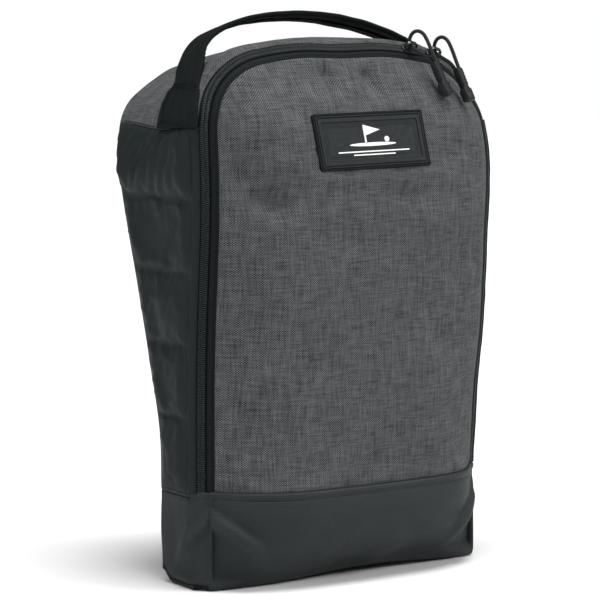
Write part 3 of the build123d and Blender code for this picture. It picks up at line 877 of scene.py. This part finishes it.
def off_patch(x, z):
    """0 where the patch holds the flap's cloth flat, 1 well away from it."""
    aside = max(abs(x) - PATCH_SIZE[0] / 2, 0)
    return smooth(hypot(aside, max(abs(z - PATCH_MIDDLE[2]) - PATCH_HOLD, 0)) / 16)


def flap_dent(x, z):
    """How far the soft hollows and folds of the flap's cloth sink."""
    edge = smooth(max(inside(x, z) - PANEL_INSET, 0.0) / 14)
    return dents(x, z, FLAP_DENTS) * edge * off_patch(x, z)


def flap_y(x, z):
    """Depth of the flap's cloth: a foam pillow, drawn flat where the patch is sewn on."""
    swell, run, power = PANEL_SWELL
    depth = max(inside(x, z) - PANEL_INSET, 0.0)
    run += 15 * bump(x, 0, 75) * smooth((z - 235) / 70)
    share = 1 - exp(-((depth / run) ** power))
    y = PANEL_Y - swell * share - 2.0 * bump(z, 210, 90) * smooth(depth / 70)
    edge = smooth(depth / 14)
    y += edge * (0.9 * wobble(x, 0, z, 42) + 0.35 * wobble(x, 0, z, 15, 3))
    flat = PATCH_MIDDLE[1] + (z - PATCH_MIDDLE[2]) * sin(PATCH_TILT) / cos(PATCH_TILT)
    return flat + (y - flat) * off_patch(x, z)


def arch_line(inset, low, pitch):
    """The outline at an inset as a list of (x, z), from the left foot to the right foot."""
    places = [arch(h, inset) for h in arch_steps(pitch)]
    return [(x, max(z, low)) for x, z, _, _ in places]


def with_foot(points, low, pitch):
    """An outline closed along its bottom edge."""
    half = points[-1][0]
    count = int(2 * half / pitch)
    return points + [(half - 2 * half * i / count, low) for i in range(1, count)]


def flap_cloth():
    low = SEAM_Z - 1.4
    outline = with_foot(arch_line(PANEL_INSET - 0.6, low, 3.6), low, 3.6)
    rings = [[(x, z) for x, z in arch_line(PANEL_INSET + inset, SEAM_Z, 3.6) if z > SEAM_Z + 2]
             for inset in (1.2, 3.2, 6.2)]
    places, triangles = cut(outline, 3.6, rings)

    def shape(x, z):
        tuck = 1.8 * (1 - smooth((inside(x, z) - PANEL_INSET + 0.6) / 1.6))
        return (x, flap_y(x, z) + tuck, z)

    obj = sewn("flap_cloth", places, triangles, shape, HEATHER)
    relax(obj, lambda x, y, z: inside(x, z) < PANEL_INSET + 5 or z < SEAM_Z + 1, 4, axis=1)
    return obj


def flap_lining():
    low = SEAM_Z - 0.8
    places, triangles = cut(with_foot(arch_line(PANEL_INSET + 0.2, low, 6.5), low, 6.5), 7.0)

    def shape(x, z):
        sunk = smooth((inside(x, z) - PANEL_INSET) / 10)
        y = flap_y(x, z) + 2.5 + 3.6 * sunk + 0.7 * wobble(x, 3, z, 26, 5)
        return (x, y, z)

    obj = sewn("flap_lining", places, triangles, shape, LINING_CLOTH, turned=True)
    relax(obj, lambda x, y, z: inside(x, z) < PANEL_INSET + 4 or z < SEAM_Z + 1, 6, axis=1)
    return obj


def sink_dents(obj):
    """Presses the flap's hollows and folds into a cloth that has settled."""
    for vertex in obj.data.vertices:
        vertex.co.y += flap_dent(vertex.co.x / MM, vertex.co.z / MM) * MM


panel = flap_cloth()
billow(panel, lambda x, y, z: (inside(x, z) < PANEL_INSET + 4 or z < SEAM_Z + 3
                               or (abs(x) < 44 and abs(z - PATCH_MIDDLE[2]) < PATCH_HOLD)),
       0.012, 1.5, 2.5)
sink_dents(panel)
dress(panel, "heather_fabric", "front_panel", "front_foam", body=None, thickness=1.2)
lining = flap_lining()
sink_dents(lining)
dress(lining, "lining", "front_lining", body=None, thickness=0.5)


# ---------------------------------------------------------------- gusset, back and lining
def outline_run(z):
    """Run from the crown's middle to where the outline comes down to a height."""
    if z > CORNER_Z:
        return CROWN_RUN + CORNER_R * (acos(min((z - CORNER_Z) / CORNER_R, 1.0)) - CROWN_ANGLE)
    return CROWN_RUN + CORNER_RUN + CORNER_Z - z


def corner_gap(z):
    """How far the outline has turned in from its full width at a height."""
    return HALF_WIDTH - arch(outline_run(z), 0)[0]


def quilt_top(y):
    """Height of the seam between the quilted side and the grey top gusset."""
    return QUILT_TOP_Z - 3.6 * bump(y, 26, 30) + 1.2 * bump(y, -14, 12)


def seam_run(y):
    """Run from the crown's middle to the quilting's top seam."""
    return outline_run(quilt_top(y))


def gusset_point(h, y, inset):
    """A place on the top gusset, whose rear shoulders sag and whose cloth is a little slack."""
    x, z, nx, nz = arch(h, 0)
    sink = droop(h, y) + inset
    middle = smooth((y + 16) / 20) * smooth((86 - y) / 16)
    sink += middle * (0.9 * wobble(x, y, z, 34, 1) + 0.4 * wobble(x, y, z, 13, 4))
    sink += dents(abs(h), y, ((118, 40, 1.6, 16, 14), (84, 20, 1.2, 12, 18)))
    return (x - nx * sink, y, z - nz * sink)


GUSSET_FOLD = [(3.9, 0.9), (4.1, 0.2), (3.6, -0.1), (1.8, -0.1), (0.4, -0.15)]  # s, t on the bevel
QUILT_FOLD = [(3.9, 1.0), (4.1, 0.2), (3.8, -0.6), (2.2, -0.8), (0.9, -0.7)]


def top_gusset():
    rows = []
    for i in range(101):
        share = -1 + 2 * i / 100
        row = [bevel(share * seam_run(GUSSET_Y), s, t) for s, t in GUSSET_FOLD]
        for j in range(32):
            y = GUSSET_Y + 0.7 + j / 31 * (rear_y(TOP_Z) - 1.7 - GUSSET_Y)
            h = share * seam_run(y)
            rear = rear_y(arch(h, 0)[1]) - 0.5
            y = GUSSET_Y + (y - GUSSET_Y) * (rear - GUSSET_Y) / (rear_y(TOP_Z) - 1 - GUSSET_Y)
            row.append(gusset_point(h, y, -0.3))
        rows.append(row)
    obj = grid("top_gusset", rows, HEATHER)
    return dress(obj, "heather_fabric", "gusset_top", thickness=1.2, offset=1.0)


def channel(z):
    """Where a height lies in its quilted channel: its share of the channel, from 0 to 1."""
    seams = SEAM_LIST + [QUILT_TOP_Z]
    for low, high in zip(seams, seams[1:]):
        if z <= high:
            return max((z - low) / (high - low), 0.0)
    return 1.0


def at_seam(y, z, reach):
    return any(abs(z - seam) < reach for seam in SEAM_LIST) or z > quilt_top(y) - reach


def slack(y, z, side):
    """Ridges of slack nylon: they fan down and back from the handle's foot, and from each seam."""
    share = channel(z)
    slant = y + 0.45 * (z - QUILT_TOP_Z)
    crease = 0.42 - abs(noise.noise(Vector((slant / 9, z / 60, 3.0 * side))))
    pucker = 0.3 - abs(noise.noise(Vector((y / 7 + 20, z / 40, 5.0 * side))))
    top = smooth((z - SEAM_LIST[-1] + 6) / 14)
    near_seam = 0.35 * max(1 - share * 3, 0.0) + max((share - 0.5) / 0.5, 0.0)
    hold = sin(pi * share) ** 0.5 if 0 < share < 1 else 0.0
    return hold * (crease * (0.4 + 5.4 * top) + 1.0 * pucker * near_seam)


def quilt(word, side):
    """A padded side: nylon sewn down along the cross seams, swelling and puckering between."""
    low = SEAM_Z - 1.0
    rear = [(rear_y(z) - 1.2, z) for z in np.linspace(low, quilt_top(80), 76)]
    top = [(y, quilt_top(y)) for y in np.linspace(rear[-1][0], GUSSET_Y, 32)]
    front = [(GUSSET_Y, z) for z in np.linspace(quilt_top(GUSSET_Y), low, 76)]
    bottom = [(y, low) for y in np.linspace(GUSSET_Y, rear[0][0], 14)]
    outline = rear + top[1:] + front[1:] + bottom[1:-1]
    seams = [[(y, z) for y in np.arange(GUSSET_Y + 1.5, rear_y(z) - 2.4, 3.0)]
             for z in SEAM_LIST[1:]]
    places, triangles = cut(outline, 3.1, seams)

    def shape(y, z):
        edge = min((y - GUSSET_Y) / 9, (rear_y(z) - 1.2 - y) / 9, 1.0)
        share = channel(z) ** 0.9
        swell = (2.9 * sin(pi * share) ** 0.7 + slack(y, z, side)) * max(edge, 0.0) ** 0.5
        _, _, out, up = arch(outline_run(z), 0)
        sink = droop(outline_run(z), y)
        return (side * (HALF_WIDTH - 0.5 + swell - sink * out - corner_gap(z)), y, z - sink * up)

    obj = sewn(f"quilt_{word}", places, triangles, shape, NYLON, turned=side > 0)
    billow(obj, lambda x, y, z: at_seam(y, z, 0.5) or z < SEAM_Z or y < GUSSET_Y + 0.6
           or y > rear_y(z) - 1.9, 0.018, 2.5, 3.5)
    dress(obj, "quilted_nylon", f"gusset_quilt_{word}", thickness=1.0)
    return obj


def quilt_facing(word, side):
    """The nylon's plain margin, which turns over the bag's front edge to the zipper."""
    rows = []
    start, end = seam_run(GUSSET_Y), ARCH_RUN
    for i in range(91):
        h = side * (start + (end - start) * i / 90)
        x, z, nx, nz = arch(h, 0)
        row = []
        proud = 0.35 + 0.65 * smooth(i / 9)
        for s, t in QUILT_FOLD:
            row.append(bevel(h, s, t * proud + 0.35 * wobble(x, s * 3, z, 11, 2) * smooth(s / 2)))
        for y, inset in ((0.8, 0.0), (2.6, 0.25), (4.2, 1.6)):
            row.append((x - nx * inset, GUSSET_Y + y, z - nz * inset))
        rows.append(row)
    obj = grid(f"quilt_margin_{word}", rows if side > 0 else rows[::-1], NYLON)
    dress(obj, "quilted_nylon", thickness=0.9)


def rear_outline(inset, low, pitch):
    """The slack outline of the back, as (x, z) points round to its bottom edge."""
    points = []
    for h in arch_steps(pitch):
        x, z, nx, nz = arch(h, 0)
        sink = droop(h, rear_y(z)) + inset
        points.append((x - nx * sink, max(z - nz * sink, low)))
    return with_foot(points, low, pitch)


def back_cloth(name, inset, ahead, material, node, slot, turned):
    places, triangles = cut(rear_outline(inset, SEAM_Z - 1, 5.5), 6.5)
    sign = 1 if turned else -1

    def shape(x, z):
        edge = min(inside(x, z) / 34, 1.0) ** 0.7 * smooth((z - SEAM_Z) / 30 + 0.25)
        fold = 1.6 * (0.4 - abs(wobble(x + 0.5 * z, 40, 0.4 * z - 0.3 * x, 30, 11)))
        pad = edge * (3.4 + 1.8 * wobble(x, 40, z, 60, 6) + 0.4 * wobble(x, 40, z, 18, 7) + fold)
        return (x, rear_y(z) - ahead + sign * pad * (1 if turned else 0.3), z)

    obj = sewn(name, places, triangles, shape, material, turned=turned)
    relax(obj, lambda x, y, z: inside(x, z) < inset + 20 or z < SEAM_Z + 3, 6, axis=1)
    return dress(obj, slot, node, thickness=1.0 if turned else 0.5)


def tube(name, path, radius, material, sides=10):
    """A round trim along a path of (point, outward) pairs."""
    rows = []
    for index, (place, out) in enumerate(path):
        ahead = Vector(path[min(index + 1, len(path) - 1)][0])
        along = (ahead - Vector(path[max(index - 1, 0)][0])).normalized()
        out = Vector(out)
        out = (out - along * out.dot(along)).normalized()
        side = along.cross(out)
        rows.append([tuple(Vector(place) + (out * cos(2 * pi * k / sides)
                                            + side * sin(2 * pi * k / sides)) * radius)
                     for k in range(sides)])
    return grid(name, rows, material, closed=True, capped=True)


def rear_edge(inset, ahead, step=4.0):
    """A path round the back's slack outline, with the outward at each place."""
    path = []
    for h in arch_steps(step):
        x, z, nx, nz = arch(h, 0)
        sink = droop(h, rear_y(z)) + inset
        path.append(((x - nx * sink, rear_y(z) - ahead, z - nz * sink), (nx, 0.0, nz)))
    return path


def inner_gusset():
    rows = []
    for h in arch_steps(8.0):
        x, z, nx, nz = arch(h, 0)
        rear = rear_y(z) - 4.6
        row = []
        for j in range(16):
            y = GUSSET_Y - 0.9 + j / 15 * (rear - GUSSET_Y + 0.9)
            sink = 3.4 + droop(h, y) + 1.0 * smooth(j / 2)
            sink += 0.6 * smooth(j / 4) * wobble(x, y, z, 24, 8)
            row.append((x - nx * sink, y, z - nz * sink))
        rows.append(row)
    obj = grid("gusset_inner_cloth", rows, LINING_CLOTH)
    dress(obj, "lining", "gusset_lining", thickness=0.5)


gusset = top_gusset()
quilts = {word: quilt(word, side) for word, side in SIDES.items()}
for word, side in SIDES.items():
    quilt_facing(word, side)
back_cloth("back_cloth", 2.0, 0.0, BLACK_CLOTH, "back_panel", "black_fabric", True)
back_cloth("back_inner_cloth", 4.6, 4.4, LINING_CLOTH, "back_lining", "lining", False)
inner_gusset()
piping = tube("back_piping_cord", rear_edge(2.2, 0.7), 1.3, BLACK_CLOTH)
dress(piping, "black_fabric", "back_piping")
binding = grid("seam_binding", [[tuple(Vector(p) - Vector(o) * depth - Vector((0, run, 0)))
                                 for run, depth in ((0.0, 0.0), (2.0, 1.1), (8.0, 1.1), (9.5, 0.2))]
                                for p, o in rear_edge(5.0, 5.0, 6.0)], TAPE)
dress(binding, "zipper_tape", "back_seam_binding", thickness=0.5)


# ---------------------------------------------------------------- base
BASE_SEAM = (109.0, -30.5)  # plan of the front corner's seam
SIDE_X = 117.5
BASE_DENTS = [  # as FLAP_DENTS
    (50, 15, 3.2, 26, 11), (-8, 12, 2.2, 20, 9), (20, 22, -1.6, 14, 14), (88, 20, -1.6, 12, 16),
]


def base_front(x, z):
    """Depth of the base's front: it swells with the flap above and tucks in at the floor."""
    top = flap_y(x, SEAM_Z + 0.5) - 1.3 if abs(x) < HALF_WIDTH - PANEL_INSET else PANEL_Y - 1.3
    lean = float(np.interp(z, [0, 6, 18, 32, 50, SEAM_Z], [0.10, 0.20, 0.47, 0.72, 0.93, 1.0]))
    y = PANEL_Y + (top - PANEL_Y) * lean
    run = BASE_SEAM[0] - abs(x)
    y -= 2.2 * sin(pi * min(z / SEAM_Z, 1)) * smooth(run / 4)
    y += crease(run, z) + dents(x, z, BASE_DENTS)
    y += 0.5 * smooth(run / 10) * wobble(x, 9, z, 26, 2)
    return y


def crease(run, z):
    """Depth of the folds that fan down from a pinched corner seam, run mm from it."""
    fall = 49 - 0.86 * run
    fade = 1 - smooth((run - 16) / 22)
    ridge = -4.2 * bump(z, fall, 4.2 + 0.12 * run) * fade * smooth(run / 5)
    below = 5.2 * smooth((fall - 2 - z) / 8) * smooth((z - 2) / 10) * fade * smooth(run / 3)
    above = 2.0 * bump(z, fall + 11, 5) * fade
    pinch = 1.6 * exp(-run / 2.2)
    return ridge + below + above + pinch


def base_low(y):
    """Height of the side's lower edge, which rounds up to the rear corner."""
    return 1.6 + 9.0 * smooth((y - 4) / 18) ** 1.6


FRONT_HEM = [  # rise above the seam and set-back of the folded, stitched hem
    (-1.2, 1.3), (0.5, 1.0), (1.0, 0.45), (0.6, 0.05), (-0.4, 0.0), (-2.4, 0.0), (-3.4, 0.55),
    (-4.4, 0.0),
]
SIDE_HEM = [
    (-1.0, 1.6), (0.6, 1.2), (1.2, 0.3), (0.8, -0.3), (-0.4, -0.4), (-2.4, -0.3), (-3.4, 0.3),
    (-4.4, -0.2),
]


def base_front_cloth():
    """The base's front band, from its folded hem down and in under the floor's edge."""
    heights = [(SEAM_Z + rise, back) for rise, back in FRONT_HEM]
    heights += [(z, 0.0) for z in np.linspace(SEAM_Z - 6.5, 5.0, 26)]
    heights += [(3.2, 0.5), (1.6, 1.6), (0.7, 3.2), (0.5, 6.0)]
    rows = []
    for z, back in heights:
        row = []
        for i in range(97):
            x = BASE_SEAM[0] * sin(pi / 2 * (-1 + 2 * i / 96))
            lift = 4.6 * bump(x, 18, 62) * (1 - smooth(z / 24))
            row.append((x, base_front(x, min(z, SEAM_Z)) + back, z + lift))
        rows.append(row)
    obj = grid("base_front_cloth", rows, COATED)
    return dress(obj, "coated_fabric", "base_front_band", thickness=1.0)


def side_plan(run):
    """Plan (x, y) of the base's side at a run back from the corner seam, on the right."""
    seam_x, seam_y = BASE_SEAM
    slant = hypot(SIDE_X - 1.5 - seam_x, -19 - seam_y)
    if run < slant:
        share = run / slant
        return seam_x + share * (SIDE_X - 1.5 - seam_x), seam_y + share * (-19 - seam_y)
    share = smooth((run - slant) / 6)
    return SIDE_X - 1.5 * (1 - share), -19 + run - slant


def base_side_cloth(word, side):
    heights = [(SEAM_Z + rise, back) for rise, back in SIDE_HEM]
    heights += [(z, 0.0) for z in np.linspace(SEAM_Z - 7, 6.0, 20)]
    heights += [(3.5, 0.5), (1.2, 1.6), (0, 3.2)]
    total = 16.0 + rear_y(30) + 19
    rows = []
    for z, back in heights:
        row = []
        for i in range(33):
            run = i / 32 * (total - 3.0 + rear_y(z) - rear_y(30))
            x, y = side_plan(run)
            low = base_low(y)
            height = low + (z / SEAM_Z) * (SEAM_Z - low) if z < SEAM_Z else z
            belly = 1.0 * sin(pi * min(z / SEAM_Z, 1)) * smooth(run / 20)
            inward = back + 0.7 * crease(run, z) - belly + 0.5 * wobble(0, y, z, 22, 3)
            inward += 1.4 * bump(y, 2, 9) * bump(z, 26, 20)
            slope = smooth((run - 8) / 8)
            row.append((side * (x - inward * (0.55 + 0.45 * slope)), y + inward * 0.5 * (1 - slope),
                        height))
        rows.append(row)
    obj = grid(f"base_side_cloth_{word}", rows if side < 0 else [r[::-1] for r in rows], COATED)
    return dress(obj, "coated_fabric", f"base_side_{word}", thickness=1.0)


def base_back_cloth():
    rows = []
    for z in [SEAM_Z - 1] + list(np.linspace(SEAM_Z + 1, 9, 16)) + [6.5, 4.5, 3.0]:
        row = []
        for i in range(49):
            x = -SIDE_X + 2 * SIDE_X * i / 48
            turn = smooth((abs(x) - SIDE_X + 7) / 7)
            y = rear_y(min(z, SEAM_Z)) + 0.6 - 2.4 * turn**2 + 0.5 * wobble(x, 20, z, 28, 4)
            low = 1.2 + 8.0 * smooth((abs(x) - SIDE_X + 14) / 14)
            row.append((x, y - 3.0 * (1 - smooth(z / 9)), max(z, low) if z < 12 else z))
        rows.append(row)
    obj = grid("base_back_cloth", [r[::-1] for r in rows], COATED)
    dress(obj, "coated_fabric", thickness=1.0)


def base_loop(inward):
    """Plan of the bottom's edge, moved inwards, as (x, y) places round the bag."""
    half, front, rear = SIDE_X - 1.5 - inward, -27.5 + inward, 18.0 - inward
    loop = [(x, front - 3.0 * bump(x, 0, 70)) for x in np.linspace(-half + 6, half - 6, 25)]
    loop += [(half, y) for y in np.linspace(front + 6, rear - 6, 9)]
    loop += [(x, rear) for x in np.linspace(half - 6, -half + 6, 25)]
    loop += [(-half, y) for y in np.linspace(rear - 6, front + 6, 9)]
    return loop


def bottom_cloth():
    rows = []
    for inward, share in ((0.0, 1.0), (3.0, 0.7), (8.0, 0.25), (16.0, 0.0)):
        rows.append([(x, y, 0.7 + share * (base_low(y) * smooth((abs(x) - 80) / 30) + 0.6
                                           + 5.0 * bump(x, 18, 62) * smooth(-y / 22)))
                     for x, y in base_loop(inward)])
    obj = grid("bottom_cloth", rows, MESH_CLOTH, closed=True)
    shell = bmesh.new()
    shell.from_mesh(obj.data)
    shell.verts.ensure_lookup_table()
    shell.faces.new(shell.verts[-len(rows[0]):]).smooth = True
    bmesh.ops.recalc_face_normals(shell, faces=shell.faces)
    shell.to_mesh(obj.data)
    shell.free()
    return dress(obj, "black_fabric", "base_floor", thickness=0.6, offset=1.0)


def corner_seams():
    """The rolled corner seams of the base, and the lips under its sides."""
    for word, side in SIDES.items():
        seam_x = side * (BASE_SEAM[0] - 0.2)
        path = [((seam_x, base_front(BASE_SEAM[0], z) + 0.4, z), (0.0, -1.0, 0.0))
                for z in np.linspace(2, SEAM_Z - 1, 20)]
        lip = [((side * (SIDE_X - 2.0), y, base_low(y) + 0.2), (float(side), 0.0, -0.6))
               for y in np.linspace(-20, 18, 20)]
        seam = tube(f"base_corner_seam_{word}", path, 0.8, COATED, 8)
        edge = tube(f"base_lip_{word}", lip, 1.3, BLACK_CLOTH, 8)
        for piece in (seam, edge):
            dress(piece, "coated_fabric")


def board_cover():
    low, high = (np.array(c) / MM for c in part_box("base_board"))
    rows = []
    for x in (low[0] + (high[0] - low[0]) * i / 20 for i in range(21)):
        rows.append([(x, low[1] + (high[1] - low[1]) * j / 8,
                      high[2] + 0.4 * wobble(x, j * 5, 0, 20, 9)) for j in range(9)])
    dress(grid("board_cover", rows, LINING_CLOTH), "stiffener", "base_board", thickness=1.6)


base_cloth = base_front_cloth()
base_sides = {word: base_side_cloth(word, side) for word, side in SIDES.items()}
base_back_cloth()
bottom_cloth()
corner_seams()
board_cover()


# ---------------------------------------------------------------- handle
STRAP_HALF = 19.5  # half the webbing's width before it is folded
STRAP_T = 1.4  # the webbing's thickness
FOLD_R = 1.0  # radius of the webbing's middle at a fold
GRIP_HALF = 9.5  # half the width of the folded grip
STRAP_LINE = [  # the left half's middle line, from the foot to the top
    (-119.6, -4.2, 309), (-118.6, -3.9, 316), (-116.4, -3.2, 324), (-112.6, -2.2, 332),
    (-108.6, 0.4, 340), (-104.4, 4.6, 347.5), (-98.8, 10.4, 354.5), (-91.6, 16.8, 361.5),
    (-82.4, 22.4, 368), (-71.0, 26.2, 373.4), (-57.0, 28.6, 378), (-41.0, 30.0, 381.6),
    (-22.0, 30.6, 383.8), (0.0, 30.8, 384.4)]
CREASE_RUN = 33.0  # from the foot's end to the stitched edge, where folding starts


def through(points, per_span):
    """A smooth line through points."""
    array = [Vector(p) for p in points]
    array = [2 * array[0] - array[1]] + array + [2 * array[-1] - array[-2]]
    line = []
    for i in range(1, len(array) - 2):
        a, b, c, d = array[i - 1:i + 3]
        for k in range(per_span):
            t = k / per_span
            line.append(0.5 * (2 * b + (c - a) * t + (2 * a - 5 * b + 4 * c - d) * t * t
                               + (3 * b - a - 3 * c + d) * t**3))
    return line + [array[-2]]


def folded(reach, fold_at, turn):
    """Place across and above the strap of webbing reach mm from its middle.

    It folds over its outer face beyond fold_at, by a turn of 0 to half a circle.
    """
    size, side = abs(reach), copysign(1, reach)
    if size <= fold_at:
        return reach, 0.0, 0.0
    run = size - fold_at
    bend = min(turn, run / FOLD_R)
    straight = run - bend * FOLD_R
    across = fold_at + FOLD_R * sin(bend) + straight * cos(bend)
    above = FOLD_R * (1 - cos(bend)) + straight * sin(bend)
    return side * across, above, side * bend


def strap_stations():
    """The handle's middle line from foot to foot; its right half sags a little more."""
    half = through(STRAP_LINE, 5)
    mirrored = []
    for p in reversed(half[:-1]):
        low = 1 - smooth((p.z - 330) / 25)
        sag = 1.8 * smooth(-p.x / 45) * smooth((p.z - 345) / 20)
        mirrored.append(Vector((-p.x - 1.0 * low, p.y + 8.0 * low, p.z - sag)))
    return half + mirrored


def strap():
    """The handle's webbing: flat where it is sewn on, folded in half at the grip."""
    line = strap_stations()
    runs = [0.0]
    for before, here in zip(line, line[1:]):
        runs.append(runs[-1] + (here - before).length)
    rows = []
    for index, place in enumerate(line):
        ahead = line[min(index + 1, len(line) - 1)]
        along = (ahead - line[max(index - 1, 0)]).normalized()
        run = min(runs[index], runs[-1] - runs[index])
        folding = smooth((run - CREASE_RUN + 4) / 42)
        lean = radians(13) * smooth((run - CREASE_RUN) / 90)
        guide = Vector((0, cos(lean), -sin(lean)))
        across = (guide - along * guide.dot(along)).normalized()
        out = across.cross(along)
        front_fold = 15.0 + (GRIP_HALF - 15.0) * folding
        gather = 1 - 0.06 * bump(run, CREASE_RUN, 6) + 0.3 * (1 - smooth(run / CREASE_RUN))
        pinch = 0.8 * bump(run, CREASE_RUN, 2.0)
        section = []
        for face in (1, -1):
            steps = np.linspace(-STRAP_HALF, STRAP_HALF, 37)[::face]
            for reach in steps:
                front = reach < 0
                fold_at = front_fold if front else GRIP_HALF + 1.5 * (1 - folding)
                turn = pi if front else pi * folding
                a, b, bend = folded(reach, fold_at, turn)
                a -= sin(bend) * STRAP_T / 2 * face
                b += cos(bend) * STRAP_T / 2 * face - pinch * (bend == 0)
                b += 0.3 * wobble(place.x, reach, place.z, 12, 5) * (0.4 + folding)
                section.append(tuple(place + across * a * gather + out * b))
        rows.append(section)
    return grid("handle_strap", rows, WEBBING, closed=True, capped=True)


handle = dress(strap(), "webbing", "handle_webbing", "handle_anchor_left", "handle_anchor_right",
               body=None)


# ---------------------------------------------------------------- patch
def patch_point(x, up, out):
    """A place on the patch: across, up and out of its tilted and slightly rolled face."""
    c, s = cos(PATCH_TILT), sin(PATCH_TILT)
    x, up = x * cos(PATCH_ROLL) - up * sin(PATCH_ROLL), x * sin(PATCH_ROLL) + up * cos(PATCH_ROLL)
    mid_x, mid_y, mid_z = PATCH_MIDDLE
    return mid_x + x, mid_y - out * c + up * s, mid_z + out * s + up * c


def rounded_loop(inset, radius, per_corner=5, per_side=8):
    """The patch's outline, moved inwards."""
    radius = max(radius - inset * 0.4, 0.4)
    half_x, half_y = (size / 2 - inset - radius for size in PATCH_SIZE)
    arcs = []
    for mid_x, mid_y, start in ((half_x, half_y, 0), (-half_x, half_y, 90),
                                (-half_x, -half_y, 180), (half_x, -half_y, 270)):
        turns = [radians(start + 90 * k / (per_corner - 1)) for k in range(per_corner)]
        arcs.append([(mid_x + radius * cos(t), mid_y + radius * sin(t)) for t in turns])
    loop = []
    for arc, after in zip(arcs, arcs[1:] + arcs[:1]):
        (x, y), (to_x, to_y) = arc[-1], after[0]
        loop += arc + [(x + (to_x - x) * k / per_side, y + (to_y - y) * k / per_side)
                       for k in range(1, per_side)]
    return loop


def relief(name, profile, material):
    """A moulded surface from rings of the patch's outline: (inset, height) pairs."""
    rows = [[patch_point(x, up, height) for x, up in rounded_loop(inset, 1.6)]
            for inset, height in profile]
    obj = grid(name, rows, material, closed=True, capped=True, warp=False)
    obj.data.set_sharp_from_angle(angle=radians(28))
    return dress(obj, "label_rubber", body="flap")


def flat_shape(name, outlines, low, high):
    """Printed shapes that stand a little above the patch."""
    parts = []
    for outline in outlines:
        points, faces = slab(outline, low, high)
        parts.append(([patch_point(*p) for p in points], faces))
    obj = make(name, *merged(parts), INK, warp=False)
    obj.data.set_sharp_from_angle(angle=radians(30))
    return dress(obj, "label_rubber", body="flap")


def disc(x, y, wide, tall, count=28):
    return [(x + wide * cos(2 * pi * k / count), y + tall * sin(2 * pi * k / count))
            for k in range(count)]


def patch():
    edge = relief("patch_edge", [(0.0, -0.8), (0.0, 1.3), (0.35, 1.7), (1.3, 1.7), (1.5, 1.1),
                                 (2.4, 1.1)], PATCH_EDGE)
    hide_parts("label_patch")
    relief("patch_face", [(1.6, 1.0), (1.7, 1.9), (1.95, 2.1), (2.5, 2.1), (2.75, 1.8), (3.35, 1.8),
                          (3.6, 2.1), (5.9, 2.1), (6.6, 1.55), (7.9, 1.5), (8.0, 1.7), (8.5, 1.7),
                          (8.6, 1.5), (9.3, 1.5), (9.4, 1.65), (9.8, 1.65), (9.9, 1.45)], PATCH)
    pole = [(-6.0, -2.6), (-4.8, -2.6), (-4.8, 10.6), (-6.0, 10.6)]
    pennant = [(-4.8, 3.4), (-4.8, 10.4), (7.4, 7.0)]
    green = disc(0.0, -2.8, 19.0, 1.2)
    ball = disc(12.0, 0.3, 1.9, 1.9)
    rules = [[(-w, low), (w, low), (w, low + 0.8), (-w, low + 0.8)]
             for w, low in ((29, -8.0), (17, -10.2))]
    flat_shape("patch_motif", [pole, pennant, green, ball] + rules, 1.4, 1.75)


patch()


# ---------------------------------------------------------------- stitching
def sew_everything():
    hem_z = SEAM_Z - 3.4
    hem = seam_path(base_cloth, [(x, base_front(x, hem_z) + 0.55, hem_z)
                                 for x in np.linspace(-106, 106, 160)], (0, -1, 0), 0.15)
    stitch("stitches_base_front", "coated_fabric", [hem], 3.4, 2.3, 0.95)
    for word, side in SIDES.items():
        out = (side, 0, 0)
        path = seam_path(base_sides[word], [(side * (SIDE_X + 0.3), y, hem_z)
                                            for y in np.linspace(-17, 15, 30)], out, 0.05)
        stitch(f"stitches_base_{word}", "coated_fabric", [path], 3.4, 2.7, 0.75)
        seams = [seam_path(quilts[word], [(side * HALF_WIDTH, y, z) for y in
                                          np.linspace(GUSSET_Y + 1, rear_y(z) - 2.5, 30)], out)
                 for z in SEAM_LIST[1:]]
        stitch(f"stitches_quilt_{word}", "quilted_nylon", seams, 3.0, 2.3, 0.6)
        path = seam_path(gusset, [gusset_point(copysign(seam_run(y) - 2.6, side), y, -1.5)
                                  for y in np.linspace(GUSSET_Y + 1, 78, 60)], out)
        stitch(f"stitches_gusset_{word}", "heather_fabric", [path], 3.2, 2.4, 0.6)
    rim = []
    for h in arch_steps(4.0):
        _, _, nx, nz = arch(h, 0)
        rim.append((settle(bevel(h, 15.95, -0.62)), (nx * BEVEL, -BEVEL, nz * BEVEL)))
    bend_at_seam(stitch("stitches_rim", "zipper_tape", [rim], 2.9, 2.2, 0.5, body=None))
    loop = rounded_loop(3.05, 1.6)
    out = (0.0, -cos(PATCH_TILT), sin(PATCH_TILT))
    ring = [(patch_point(x, up, 1.85), out) for x, up in loop + loop[:1]]
    stitch("stitches_patch", "label_rubber", [ring], 2.7, 2.0, 0.55, body="flap")


def handle_stitches():
    def off_side(z):
        """How far out the strap's foot is at a height, and a little more."""
        return np.interp(z, [p[2] for p in STRAP_LINE], [-p[0] for p in STRAP_LINE]) + 4

    paths = []
    for side in (-1, 1):
        lines = [[(side * off_side(z), y, z + 0.06 * (y + 4)) for y in np.linspace(-19, 18, 24)]
                 for z in (312.0, 336.0, 338.5)]
        lines.append([(side * off_side(z), 15.5, z) for z in np.linspace(312, 336, 14)])
        paths += [seam_path(handle, line, (side, 0, 0.4), 0.05) for line in lines]
    return stitch("stitches_handle", "webbing", paths, 2.8, 2.2, 0.6, body=None)


sew_everything()
for piece in (handle, handle_stitches()):
    bend(piece, "handle_swing", "handle", *HANDLE_BEND)
for piece in (panel, lining):
    bend_at_seam(piece)
